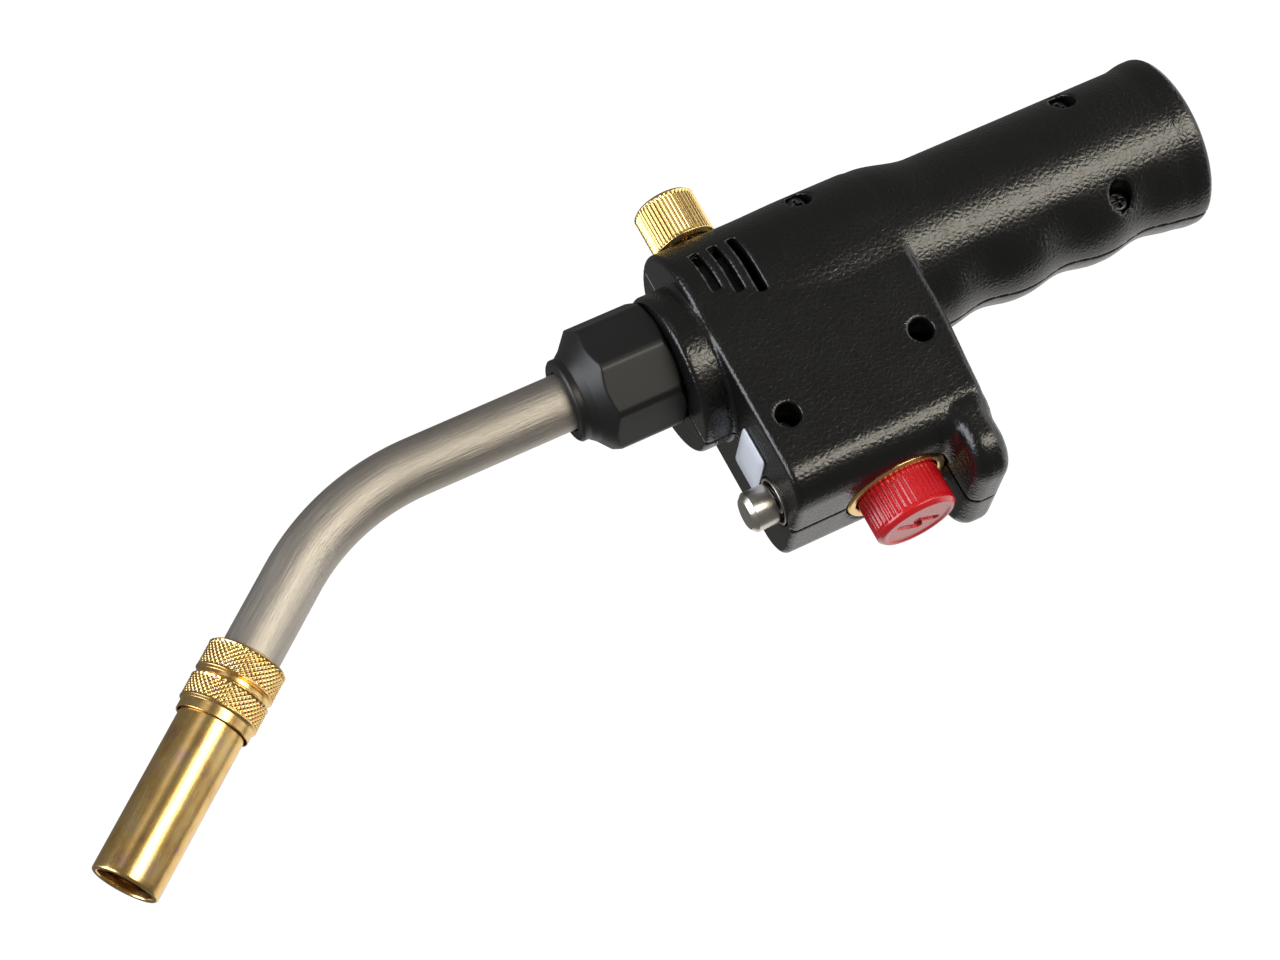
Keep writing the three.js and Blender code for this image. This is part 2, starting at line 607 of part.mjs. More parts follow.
function regulator() {
  const inner = REGULATOR_R - REGULATOR_WALL;
  const floor = REGULATOR_Z + REGULATOR_WALL;
  place('regulator_body', turned([
    [PIPE_SOCKET_R, REGULATOR_Z], [REGULATOR_R, REGULATOR_Z], [REGULATOR_R, REGULATOR_JOINT_Z],
    [inner, REGULATOR_JOINT_Z], [inner, floor], [PIPE_SOCKET_R, floor],
    [PIPE_SOCKET_R, REGULATOR_Z],
  ]), brass);
  const sheet = REGULATOR_JOINT_Z + GAP;
  place('regulator_diaphragm', ring(REGULATOR_R, PILOT_R + GAP, sheet,
    sheet + DIAPHRAGM_THICKNESS), rubber);
  const roof = CAP_END_Z - REGULATOR_WALL;
  place('regulator_cap', turned([
    [inner, CAP_Z], [REGULATOR_R, CAP_Z], [REGULATOR_R, CAP_END_Z - 2],
    [REGULATOR_R - 2, CAP_END_Z], [PIPE_SOCKET_R, CAP_END_Z],
    [PIPE_SOCKET_R, roof], [inner, roof], [inner, CAP_Z],
  ]), zinc);
  place('regulator_spring', coil(inner - 2, 0.7, CAP_Z, roof - GAP, 4), steel);
  const low = REGULATOR_JOINT_Z - PILOT_REACH;
  const high = CAP_Z + 2;
  place('regulator_pilot', ring(PILOT_R, PILOT_BORE_R, low, high, 12), brass);
  const pipeEnd = BLOCK_STUB_Z + STUB_SOCKET - GAP;
  place('valve_pipe', ring(PIPE_R, PIPE_R - PIPE_WALL, roof - PIPE_LAP, pipeEnd, 16), brass);
}

// ---- valve block with its shut-off plunger and needle ------------------------------------
function valveBlock() {
  const half = BLOCK_WIDTH / 2;
  const body = solid(block(BLOCK_BOTTOM_X, BLOCK_TOP_X, -half, half, BLOCK_REAR_Z, BLOCK_FRONT_Z));
  const stub = solid(rod(STUB_R, BLOCK_STUB_Z, BLOCK_REAR_Z + OVERLAP));
  const sealSeat = BLOCK_TOP_X - SEAL_DEPTH;
  const cuts = [
    solid(rod(PIPE_SOCKET_R, BLOCK_STUB_Z - 1, BLOCK_STUB_Z + STUB_SOCKET)),
    solid(rod(BLOCK_WAY_R, BLOCK_STUB_Z, BLOCK_FRONT_Z + 1, 12)),
    solid(alongX(rod(PLUNGER_BORE_R, BLOCK_BOTTOM_X - 1, PLUNGER_BORE_END_X), 0, VALVE_Z)),
    solid(alongX(rod(NEEDLE_BORE_R, NEEDLE_TIP_X - 2, BLOCK_TOP_X + 1), 0, KNOB_Z)),
    solid(alongX(rod(SEAL_R + GAP, sealSeat, BLOCK_TOP_X + 1), 0, KNOB_Z)),
  ];
  place('valve_block', geometryOf(cutBy(joined([body, stub]), cuts)), brass);
}

function flowControl() {
  const seal = ring(SEAL_R, NEEDLE_BORE_R, BLOCK_TOP_X - SEAL_DEPTH + GAP, BLOCK_TOP_X, 16);
  place('needle_seal', alongX(seal, 0, KNOB_Z), rubber);
  const nut = BLOCK_TOP_X + GAP;
  place('gland_nut', alongX(ring(GLAND_R, NEEDLE_BORE_R, nut, nut + GLAND_LENGTH, 6), 0, KNOB_Z), brass);
  const spindleEnd = KNOB_BASE_X + KNOB_GRIP;
  const spindle = turned([
    [0, NEEDLE_TIP_X], [NEEDLE_POINT_R, NEEDLE_TIP_X], [NEEDLE_R, NEEDLE_TIP_X + NEEDLE_TAPER],
    [NEEDLE_R, spindleEnd], [0, spindleEnd],
  ], 16);
  place('needle_spindle', alongX(spindle, 0, KNOB_Z), brass);
  const bore = NEEDLE_R + GAP;
  const top = KNOB_BASE_X + KNOB_LENGTH;
  const dishR = KNOB_SCREW_R + 0.4;
  const dish = top - 2.2;
  const boreEnd = spindleEnd + GAP;
  const screwWay = KNOB_SCREW_SHANK_R + GAP;
  const knob = turned([
    [bore, KNOB_BASE_X], [KNOB_R - EDGE, KNOB_BASE_X], [KNOB_R, KNOB_BASE_X + EDGE],
    [KNOB_R, top - 1], [KNOB_R - 1, top], [dishR, top], [dishR, dish],
    [screwWay, dish], [screwWay, boreEnd], [bore, boreEnd], [bore, KNOB_BASE_X],
  ]);
  place('flow_knob', alongX(knob, 0, KNOB_Z), brass);
  const screw = turned([
    [0, boreEnd], [KNOB_SCREW_SHANK_R, boreEnd], [KNOB_SCREW_SHANK_R, dish + GAP],
    [KNOB_SCREW_R, dish + GAP], [KNOB_SCREW_R, top - EDGE], [0, top - EDGE],
  ], 12);
  place('knob_screw', alongX(screw, 0, KNOB_Z), steel);
}

function shutOffValve() {
  const neck = PLUNGER_END_X - PLUNGER_HEAD;
  const shoulder = neck - PLUNGER_GROOVE;
  const plunger = turned([
    [0, PLUNGER_X], [PLUNGER_R, PLUNGER_X], [PLUNGER_R, shoulder], [PLUNGER_GROOVE_R, shoulder],
    [PLUNGER_GROOVE_R, neck], [PLUNGER_R, neck], [PLUNGER_R, PLUNGER_END_X], [0, PLUNGER_END_X],
  ], 16);
  place('valve_plunger', alongX(plunger, 0, VALVE_Z), brass);
  const slack = 0.2;
  const seal = ring(PLUNGER_R + slack / 2, PLUNGER_GROOVE_R + slack, shoulder + slack, neck - slack, 16);
  place('valve_seal', alongX(seal, 0, VALVE_Z), rubber);
  const spring = coil(1.6, 0.3, PLUNGER_END_X + GAP, PLUNGER_BORE_END_X - GAP, 5);
  place('valve_spring', alongX(spring, 0, VALVE_Z), steel);
}

// ---- red button, push rod and piezo igniter ----------------------------------------------
function button() {
  const bore = BUTTON_R + RUN;
  const lip = RING_FACE_X + RING_FLANGE;
  const collar = turned([
    [bore, RING_FACE_X], [RING_FLANGE_R - GAP, RING_FACE_X], [RING_FLANGE_R, RING_FACE_X + GAP],
    [RING_FLANGE_R, lip], [RING_SLEEVE_R, lip], [RING_SLEEVE_R, SLEEVE_END_X],
    [bore, SLEEVE_END_X], [bore, RING_FACE_X],
  ], 24);
  place('button_ring', alongX(collar, 0, BUTTON_Z), brass);
  const inner = BUTTON_R - BUTTON_WALL;
  const cap = turned([
    [0, BUTTON_END_X], [BUTTON_R - EDGE, BUTTON_END_X], [BUTTON_R, BUTTON_END_X + EDGE],
    [BUTTON_R, BUTTON_FLANGE_X], [BUTTON_FLANGE_R, BUTTON_FLANGE_X],
    [BUTTON_FLANGE_R, BUTTON_TOP_X], [inner, BUTTON_TOP_X], [inner, BUTTON_FLOOR_X],
    [0, BUTTON_FLOOR_X],
  ], 24);
  place('trigger_button', alongX(cap, 0, BUTTON_Z), redPlastic);
  const rodEnds = [BUTTON_FLOOR_X + GAP, PLUNGER_X - GAP];
  place('push_rod', alongX(rod(PUSH_ROD_R, ...rodEnds, 12), 0, VALVE_Z), steel);
}

function igniter() {
  const bore = PIEZO_PLUNGER_R + RUN;
  const boreEnd = PIEZO_BOTTOM_X + PIEZO_BORE;
  const body = turned([
    [bore, PIEZO_BOTTOM_X], [PIEZO_R, PIEZO_BOTTOM_X], [PIEZO_R, PIEZO_TOP_X], [0, PIEZO_TOP_X],
    [0, boreEnd], [bore, boreEnd], [bore, PIEZO_BOTTOM_X],
  ], 16);
  place('piezo_igniter', alongX(body, 0, PIEZO_Z), bluePlastic);
  const start = BUTTON_FLOOR_X + GAP;
  const plunger = rod(PIEZO_PLUNGER_R, start, boreEnd - BUTTON_TRAVEL - 1, 12);
  place('piezo_plunger', alongX(plunger, 0, PIEZO_Z), zinc);
  const spring = coil(PIEZO_PLUNGER_R + 0.75, 0.35, start, PIEZO_BOTTOM_X - GAP, 5);
  place('button_spring', alongX(spring, 0, PIEZO_Z), steel);
  const away = BLOCK_WIDTH / 2 + LEAD_R + 1.5;
  const route = new THREE.CatmullRomCurve3([
    new THREE.Vector3(PIEZO_TOP_X - 2, PIEZO_R + LEAD_R + GAP, PIEZO_Z),
    new THREE.Vector3(PIEZO_TOP_X + 1, away + 0.4, PIEZO_Z + 4),
    new THREE.Vector3(PIEZO_TOP_X + 5, away + 1, (PIEZO_Z + BLOCK_FRONT_Z) / 2),
    new THREE.Vector3(PIEZO_TOP_X + 8, away, BLOCK_FRONT_Z - 0.5),
  ]);
  place('ignition_lead', swept(circle(LEAD_R, 8), route, 10), rubber);
}

// ---- lock pin ----------------------------------------------------------------------------
function lockPin() {
  const shift = (g) => g.translate(PIN_X, 0, 0);
  place('lock_pin', shift(turned([
    [0, PIN_STEM_END_Z], [PIN_STEM_R, PIN_STEM_END_Z], [PIN_STEM_R, PIN_HEAD_BACK_Z],
    [PIN_HEAD_R, PIN_HEAD_BACK_Z], [PIN_HEAD_R, PIN_END_Z - PIN_CHAMFER],
    [PIN_HEAD_R - PIN_CHAMFER, PIN_END_Z], [0, PIN_END_Z],
  ])), steel);
  const bore = PIN_HEAD_R + RUN;
  const stemWay = PIN_STEM_R + RUN;
  const floor = PIN_BUSH_Z + PIN_BUSH_FLOOR;
  const end = BODY_FRONT_Z + PIN_BUSH_PROUD;
  place('pin_bush', shift(turned([
    [stemWay, PIN_BUSH_Z], [PIN_BUSH_R, PIN_BUSH_Z], [PIN_BUSH_R, end],
    [bore, end], [bore, floor], [stemWay, floor], [stemWay, PIN_BUSH_Z],
  ])), steel);
  const spring = coil(PIN_SPRING_R, 0.4, floor + GAP, PIN_HEAD_BACK_Z - GAP, 4);
  place('pin_spring', shift(spring), steel);
  const clipEnds = [PIN_STEM_END_Z + 0.2, PIN_RIB_Z - GAP];
  place('pin_clip', shift(ring(PIN_CLIP_R, PIN_STEM_R + 0.05, ...clipEnds, 16)), steel);
}

// ---- swivel, collar and burner -----------------------------------------------------------
const SHANK_FLANGE_END_Z = SHANK_Z + SHANK_FLANGE;

function swivel() {
  const bore = SHANK_R + RUN;
  const lip = BUSH_FLANGE_Z + BUSH_FLANGE;
  const end = NOSE_END_Z - GAP;
  place('swivel_bush', turned([
    [bore, BUSH_FLANGE_Z], [BUSH_FLANGE_R, BUSH_FLANGE_Z], [BUSH_FLANGE_R, lip],
    [BUSH_R, lip], [BUSH_R, end], [bore, end], [bore, BUSH_FLANGE_Z],
  ]), brass);
  const [low, high] = [SHANK_FLANGE_END_Z + GAP / 2, BUSH_FLANGE_Z - GAP / 2];
  place('swivel_washer', ring(SHANK_FLANGE_R, bore, low, high), steel);
}

function gasJet() {
  const foot = BLOCK_FRONT_Z + GAP;
  const seat = JET_Z - JET_SEAT;
  const jetSeatR = JET_R + GAP;
  place('jet_holder', turned([
    [HOLDER_BORE_R, foot], [HOLDER_R, foot], [HOLDER_R, foot + 4], [HOLDER_NECK_R, foot + 5],
    [HOLDER_NECK_R, JET_Z], [jetSeatR, JET_Z], [jetSeatR, seat], [HOLDER_BORE_R, seat],
    [HOLDER_BORE_R, foot],
  ], 16), brass);
  place('gas_jet', ring(JET_R, JET_BORE_R, seat + GAP, JET_Z + JET_LENGTH, 12), brass);
}

// The shank that turns in the bush, bored as a mixing tube that narrows to a throat.
function mixingTube() {
  const mixer = JET_Z + JET_LENGTH + EDGE;
  const seat = TUBE_START_Z - GAP;
  place('mixing_tube', turned([
    [SHANK_BORE_R, SHANK_Z], [SHANK_FLANGE_R, SHANK_Z], [SHANK_FLANGE_R, SHANK_FLANGE_END_Z],
    [SHANK_R, SHANK_FLANGE_END_Z], [SHANK_R, SHANK_END_Z], [TUBE_SEAT_R, SHANK_END_Z],
    [TUBE_SEAT_R, seat], [TUBE_R - TUBE_WALL, seat], [THROAT_R, mixer + 4],
    [THROAT_R, mixer + 2], [SHANK_BORE_R, mixer], [SHANK_BORE_R, SHANK_Z],
  ]), brass);
}

function octagon(radius) {
  const corners = [];
  for (let i = 0; i < COLLAR_SIDES; i += 1) {
    const a = THREE.MathUtils.degToRad(COLLAR_TURN) + (i / COLLAR_SIDES) * 2 * Math.PI;
    corners.push(new THREE.Vector2(-radius * Math.sin(a), -radius * Math.cos(a)));
  }
  return new THREE.Shape(corners);
}

function collar() {
  const bar = new THREE.ExtrudeGeometry(octagon(COLLAR_R), {
    depth: COLLAR_END_Z - COLLAR_Z, bevelEnabled: false,
  }).translate(0, 0, COLLAR_Z);
  const clear = COLLAR_R + 0.1;
  const shaper = turned([
    [0, COLLAR_Z], [COLLAR_R - COLLAR_CHAMFER, COLLAR_Z], [clear, COLLAR_Z + COLLAR_CHAMFER],
    [clear, COLLAR_SHOULDER_Z], [COLLAR_NECK_R + 1.3, COLLAR_END_Z - 3.6],
    [COLLAR_NECK_R, COLLAR_END_Z - 1.6], [COLLAR_NECK_R, COLLAR_END_Z - EDGE],
    [COLLAR_NECK_R - EDGE, COLLAR_END_Z], [0, COLLAR_END_Z],
  ], 24);
  const cuts = [
    solid(rod(SHANK_R + GAP, COLLAR_Z - 1, SHANK_END_Z + GAP, 20)),
    solid(rod(TUBE_SEAT_R, COLLAR_Z, COLLAR_END_Z + 1, 20)),
  ];
  const body = cutBy(solid(bar).intersect(solid(shaper)), cuts);
  place('collar_grip', geometryOf(body), satinBlack);
}

// The burner tube's centre line: straight out of the collar, one bend, straight to the tip.
class BendLine extends THREE.Curve {
  constructor(startZ, end) {
    super();
    const tangent = BEND_R * Math.tan(BEND_ANGLE / 2);
    this.startZ = startZ;
    this.first = BEND_Z - tangent - startZ;
    this.arc = BEND_R * BEND_ANGLE;
    this.total = this.first + this.arc + end - tangent;
  }

  getPoint(t) {
    const s = t * this.total;
    if (s <= this.first) return new THREE.Vector3(0, 0, this.startZ + s);
    const a = Math.min((s - this.first) / BEND_R, BEND_ANGLE);
    const beyond = Math.max(s - this.first - this.arc, 0);
    const x = -BEND_R * (1 - Math.cos(a)) - beyond * Math.sin(BEND_ANGLE);
    const z = this.startZ + this.first + BEND_R * Math.sin(a) + beyond * Math.cos(BEND_ANGLE);
    return new THREE.Vector3(x, 0, z);
  }
}

function burnerTube() {
  const wall = circle(TUBE_R, 16);
  wall.holes.push(circle(TUBE_R - TUBE_WALL, 16));
  place('burner_tube', swept(wall, new BendLine(TUBE_START_Z, TUBE_END), 16), steel);
  const lead = new BendLine(TUBE_START_Z + 1, ELECTRODE_START - GAP);
  place('electrode_lead', swept(circle(LEAD_R, 6), lead, 12), rubber);
}

// A disc that swirls the flame: leaning slots round its edge let the gas through.
function swirler() {
  const end = SWIRLER_START + SWIRLER_LENGTH;
  const middle = (SWIRLER_START + end) / 2;
  const reach = SWIRLER_LENGTH / 2 + 2;
  const edge = TIP_R - TIP_WALL - GAP;
  const half = SWIRL_SLOT_WIDTH / 2;
  const disc = solid(ring(edge, INSULATOR_R + GAP, SWIRLER_START, end));
  const slots = [];
  for (let i = 0; i < SWIRL_SLOTS; i += 1) {
    const slot = block(edge - SWIRL_SLOT_DEPTH, edge + 1, -half, half, -reach, reach)
      .rotateX(SWIRL_LEAN)
      .translate(0, 0, middle)
      .rotateZ((i / SWIRL_SLOTS) * 2 * Math.PI);
    slots.push(solid(slot));
  }
  return geometryOf(cutBy(disc, slots));
}

function tipRing() {
  const step = TIP_START - GAP;
  const root = KNURL_R - RING_GROOVE_DEPTH;
  const lip = RING_END - RING_LIP;
  return turned([
    [TUBE_SEAT_R, RING_START], [KNURL_R - EDGE, RING_START], [KNURL_R, RING_START + EDGE],
    [KNURL_R, RING_GROOVE - 0.8], [root, RING_GROOVE - 0.4], [root, RING_GROOVE + 0.4],
    [KNURL_R, RING_GROOVE + 0.8], [KNURL_R, lip - EDGE], [LIP_R, lip], [LIP_R, RING_END],
    [TIP_SEAT_R, RING_END], [TIP_SEAT_R, step], [TUBE_SEAT_R, step], [TUBE_SEAT_R, RING_START],
  ]);
}

function burnerTip() {
  const bore = TIP_R - TIP_WALL;
  const rim = TIP_END - 1.6;
  return turned([
    [bore, TIP_START], [TIP_R, TIP_START], [TIP_R, TIP_END - EDGE], [TIP_R - EDGE, TIP_END],
    [MOUTH_R, TIP_END], [MOUTH_R, rim], [bore, rim - EDGE], [bore, TIP_START],
  ]);
}

function burnerHead() {
  const head = new THREE.Group();
  head.position.z = BEND_Z;
  head.rotation.y = -BEND_ANGLE;
  torch.add(head);
  place('tip_ring', tipRing(), brass, head);
  place('burner_tip', burnerTip(), brass, head);
  place('flame_swirler', swirler(), brass, head);
  const low = SWIRLER_START - INSULATOR_PROUD;
  const high = SWIRLER_START + SWIRLER_LENGTH + INSULATOR_PROUD;
  const bore = ELECTRODE_R + GAP / 2;
  place('electrode_insulator', ring(INSULATOR_R, bore, low, high, 12), ceramic, head);
  place('electrode', rod(ELECTRODE_R, ELECTRODE_START, ELECTRODE_END, 8), steel, head);
}

housingHalves();
housingScrews();
ratingLabel();
gasInlet();
regulator();
valveBlock();
flowControl();
shutOffValve();
button();
igniter();
lockPin();
swivel();
gasJet();
mixingTube();
collar();
burnerTube();
burnerHead();

export default torch;
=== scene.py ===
# %% [markdown]
# # A gas torch, piece by piece
# The working model of the torch is already made: every piece has its size, place and
# joint. This lesson dresses it. Each cell makes one visible piece as a fine surface
# worked out with numpy, gives it a finish made of shader nodes, and lets it ride on the
# body that it moves with. Lengths are in millimetres until a mesh is built.

# %% Load the working model
import json
import math

import bmesh
import bpy
import numpy as np
from mathutils import Matrix, Vector


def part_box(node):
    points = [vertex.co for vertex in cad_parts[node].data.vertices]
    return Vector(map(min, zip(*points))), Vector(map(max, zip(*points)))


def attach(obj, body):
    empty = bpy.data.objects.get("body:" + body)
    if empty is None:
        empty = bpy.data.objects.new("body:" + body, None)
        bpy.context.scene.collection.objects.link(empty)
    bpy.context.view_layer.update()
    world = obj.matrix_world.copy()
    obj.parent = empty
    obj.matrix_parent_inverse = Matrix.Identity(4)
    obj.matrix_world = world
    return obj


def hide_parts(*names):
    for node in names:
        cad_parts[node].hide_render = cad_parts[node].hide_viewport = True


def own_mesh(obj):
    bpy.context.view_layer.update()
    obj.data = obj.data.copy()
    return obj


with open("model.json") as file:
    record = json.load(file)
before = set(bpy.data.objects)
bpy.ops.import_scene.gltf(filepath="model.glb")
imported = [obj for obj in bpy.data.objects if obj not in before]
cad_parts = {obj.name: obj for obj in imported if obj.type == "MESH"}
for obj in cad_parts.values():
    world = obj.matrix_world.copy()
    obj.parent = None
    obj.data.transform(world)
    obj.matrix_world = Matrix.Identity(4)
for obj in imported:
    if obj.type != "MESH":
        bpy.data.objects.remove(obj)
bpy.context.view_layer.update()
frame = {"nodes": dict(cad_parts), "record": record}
MM = 0.001

# %% [markdown]
# A node's box tells where a piece goes. `span` gives it in millimetres, so that every
# size below starts from the working model and not from a number typed twice.

# %% Reading places from the model
def span(node):
    """The lowest and highest corners of a CAD node, in millimetres."""
    low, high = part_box(node)
    return np.array(low) / MM, np.array(high) / MM


def middle(node):
    """The centre of a node's box: half the sum of its corners."""
    low, high = span(node)
    return (low + high) / 2


X, Y, Z = 0, 1, 2
handle_low, handle_high = span("housing_right")
rim_r = -handle_low[Y]
nose_end = handle_high[Z]
body_top = handle_high[X]
guard_end = handle_low[X]
knob_axis_z = middle("flow_knob")[Z]
button_axis_z = middle("button_ring")[Z]
pin_x = middle("lock_pin")[X]
print("rim radius", rim_r, "nose at", nose_end, "knob axis at", knob_axis_z)

# %% [markdown]
# ## Camera, light and floor
# The torch is seen from its right side and a little from the front, with a long lens
# and a rolled camera. It stands on a line from the aim point, given by two angles and a
# distance.

# %% The camera
AIM = np.array([-22.9, 0.0, 143.8])
DISTANCE = 637.4
SWING, RAISE = 19.23, 13.92
ROLL = math.radians(-114.02)
LENS = 85.46


def outward(swing, raised):
    """A direction, swing degrees from -Y towards -X and raised by another angle."""
    swing, raised = math.radians(swing), math.radians(raised)
    return np.array([-math.sin(swing) * math.cos(raised),
                     -math.cos(swing) * math.cos(raised), math.sin(raised)])


def unit(vector):
    """The vector divided by its length."""
    return vector / np.linalg.norm(vector)


def upright_axes(back):
    """A level camera's axes: right is Z cross back, up is back cross right."""
    right = unit(np.cross(-back, [0, 0, 1]))
    return right, np.cross(back, right)


toward_camera = outward(SWING, RAISE)
right, up = upright_axes(toward_camera)
camera_right = math.cos(ROLL) * right + math.sin(ROLL) * up
camera_up = math.cos(ROLL) * up - math.sin(ROLL) * right


def standing(place, right, up, back):
    """A matrix that puts an object at a place in millimetres, with these three axes."""
    columns = [Vector(right), Vector(up), Vector(back)]
    turned = Matrix(columns).transposed().to_4x4()
    return Matrix.Translation(Vector(place * MM)) @ turned


lens = bpy.data.cameras.new("camera")
lens.lens = LENS
lens.sensor_width = 36
camera = bpy.data.objects.new("camera", lens)
camera.matrix_world = standing(
    AIM + DISTANCE * toward_camera, camera_right, camera_up, toward_camera)
bpy.context.scene.collection.objects.link(camera)
bpy.context.scene.camera = camera
print("camera at", [round(v, 3) for v in camera.matrix_world.translation])

# %% [markdown]
# Black plastic and bright metal show what they reflect, so the lights are large soft
# panels, and their places decide where each highlight lies. The key panel, long and
# lined up with the handle, draws a stripe that fades out on the body. The table panel
# stands in for a white table behind the torch, which greys the underside. The side panel
# fills the flame tube's shadow side, and the top panel lights the label. The room is
# dim, so that the flat side of the housing stays black.

# %% Soft panels
def panel(name, swing, raised, distance, width, height, radiance, color):
    """An area light facing AIM; its power is radiance times pi times its area."""
    out = outward(swing, raised)
    side, up = upright_axes(out)
    data = bpy.data.lights.new(name, "AREA")
    data.shape = "RECTANGLE"
    data.size = width * MM
    data.size_y = height * MM
    data.energy = radiance * math.pi * data.size * data.size_y
    data.color = color
    light = bpy.data.objects.new(name, data)
    light.matrix_world = standing(AIM + distance * out, side, up, out)
    light.visible_camera = False
    bpy.context.scene.collection.objects.link(light)
    print(name, round(data.energy, 2), "W")


panel("key_panel", 16, -24.5, 900, 340, 620, 8.5, (1, 0.94, 0.8))
panel("table_panel", 156, -14, 1100, 1300, 1300, 0.85, (1, 0.98, 0.95))
panel("side_panel", -40, 7, 1100, 600, 330, 0.8, (1, 0.95, 0.92))
panel("top_panel", -40, 64, 1000, 700, 850, 6, (0.92, 0.95, 1))

# %% [markdown]
# The background is plain white for the camera, and everything else sees a dim, slightly
# warm room. The light path node tells which rays come straight from the camera.

# %% World
ROOM, BACKDROP = 0.15, 1.05
world = bpy.data.worlds.new("studio")
world.use_nodes = True
nodes, links = world.node_tree.nodes, world.node_tree.links
nodes.clear()
mix = nodes.new("ShaderNodeMixShader")
for end, color, strength in ((1, (1, 0.99, 0.96, 1), ROOM), (2, (1, 1, 1, 1), BACKDROP)):
    background = nodes.new("ShaderNodeBackground")
    background.inputs["Color"].default_value = color
    background.inputs["Strength"].default_value = strength
    links.new(background.outputs[0], mix.inputs[end])
links.new(nodes.new("ShaderNodeLightPath").outputs["Is Camera Ray"], mix.inputs[0])
links.new(mix.outputs[0], nodes.new("ShaderNodeOutputWorld").inputs["Surface"])
bpy.context.scene.world = world
bpy.context.scene.view_settings.view_transform = "Standard"
print("room", ROOM, "backdrop", BACKDROP)

# %% [markdown]
# ## Finishes
# Shader maths reads best as arithmetic. `Wire` wraps a node's output, and `+`, `-`, `*`
# on it add Math nodes. `Finish` is a material round one Principled shader, and its
# `node` adds any other node from its type, settings and sockets.

# %% Node helpers
class Wire:
    """An output socket that arithmetic adds Math nodes to."""

    def __init__(self, finish, socket):
        self.finish = finish
        self.socket = socket

    def maths(self, operation, *ends):
        """A Math node with the ends in its sockets."""
        return self.finish.node("Math", {"operation": operation}, dict(enumerate(ends)))

    def __add__(self, other):
        return self.maths("ADD", self, other)

    def __radd__(self, other):
        return self.maths("ADD", other, self)

    def __sub__(self, other):
        return self.maths("SUBTRACT", self, other)

    def __rsub__(self, other):
        return self.maths("SUBTRACT", other, self)

    def __mul__(self, other):
        return self.maths("MULTIPLY", self, other)

    def __rmul__(self, other):
        return self.maths("MULTIPLY", other, self)

    def clipped(self):
        """The value kept between 0 and 1."""
        return self.maths("MAXIMUM", self.maths("MINIMUM", self, 1.0), 0.0)


SOCKETS = {"specular": "Specular IOR Level", "coat": "Coat Weight"}


class Finish:
    """A material round one Principled shader."""

    def __init__(self, name, color, roughness, metallic=0.0, **constants):
        self.material = bpy.data.materials.new(name)
        self.material.use_nodes = True
        self.tree = self.material.node_tree
        self.shader = self.tree.nodes["Principled BSDF"]
        self.material.diffuse_color = (*color, 1)
        self.feed("Base Color", (*color, 1))
        self.feed("Roughness", roughness)
        self.feed("Metallic", metallic)
        for socket, value in constants.items():
            self.feed(SOCKETS[socket], value)

    def feed(self, socket, value):
        """Puts a value or a wire into the Principled shader."""
        self.join(self.shader.inputs[socket], value)

    def join(self, socket, value):
        if isinstance(value, Wire):
            self.tree.links.new(value.socket, socket)
        else:
            socket.default_value = value

    def node(self, kind, settings=None, sockets=None, out=0):
        """Adds a node: its settings first, then the values or links of its sockets."""
        made = self.tree.nodes.new("ShaderNode" + kind)
        for key, value in (settings or {}).items():
            if key == "stops":
                self.set_stops(made.color_ramp, value)
            else:
                setattr(made, key, value)
        for key, value in (sockets or {}).items():
            self.join(made.inputs[key], value)
        return Wire(self, made.outputs[out])

    def set_stops(self, ramp, stops):
        while len(ramp.elements) < len(stops):
            ramp.elements.new(0.5)
        for element, (place, shade) in zip(ramp.elements, stops):
            element.position = place
            element.color = (*shade, 1)

    def place(self, scale=(1, 1, 1), source="Object"):
        """Object coordinates or the piece's own UV map, stretched by scale."""
        where = self.node("TexCoord", out=source)
        return self.node("Mapping", {}, {"Vector": where, "Scale": scale})

    def noise(self, where, scale, detail=3.0, roughness=0.55):
        """Soft random values, with this many waves to a metre."""
        return self.node("TexNoise", {}, {
            "Vector": where, "Scale": scale, "Detail": detail, "Roughness": roughness})

    def blend(self, mask, first, second):
        """A colour between first and second, by the mask."""
        sockets = {0: mask, 6: first, 7: second}
        return self.node("Mix", {"data_type": "RGBA"}, sockets, out=2)

    def bump(self, height, strength, distance_mm):
        """Tilts the shading as if the surface rose by height times the distance."""
        sockets = {"Strength": strength, "Distance": distance_mm * MM, "Height": height}
        self.feed("Normal", self.node("Bump", {}, sockets))

# %% [markdown]
# The housing is nylon from a mould with a leather grain: low round islands about a
# millimetre across, with fine lines between them. A Voronoi pattern's distance to its
# cell edges gives the lines, and a noise bends them so that no cell looks drawn. The
# grain breaks the long highlight into sparkles, as it does on the real grip.

# %% Black plastics
def leather_black():
    """Islands between the edges of Voronoi cells, as relief."""
    paint = Finish("black_nylon", (0.0055, 0.0055, 0.0055), 0.27, specular=0.5)
    where = paint.place()
    wander = paint.noise(where, 700, 2)
    shifted = paint.node("VectorMath", {"operation": "MULTIPLY_ADD"}, {
        0: wander, 1: (0.001, 0.001, 0.001), 2: where})
    cells = paint.node("TexVoronoi", {"feature": "DISTANCE_TO_EDGE"}, {
        "Vector": shifted, "Scale": 780})
    islands = (cells * 2.6).clipped()
    fine = paint.noise(where, 2600, 2)
    paint.bump(islands * 0.75 + fine * 0.3, 0.42, 0.15)
    worn = paint.noise(where, 90, 4)
    paint.feed("Roughness", 0.2 + worn * 0.14 + islands * -0.03)
    return paint.material


def satin_black():
    """A fine grain under soft smears."""
    paint = Finish("satin_black", (0.009, 0.009, 0.0095), 0.42, specular=0.42)
    where = paint.place()
    grain = paint.noise(where, 2400, 3)
    smear = paint.noise(where, 120, 3)
    paint.bump(grain, 0.16, 0.05)
    paint.feed("Roughness", 0.34 + smear * 0.16)
    return paint.material

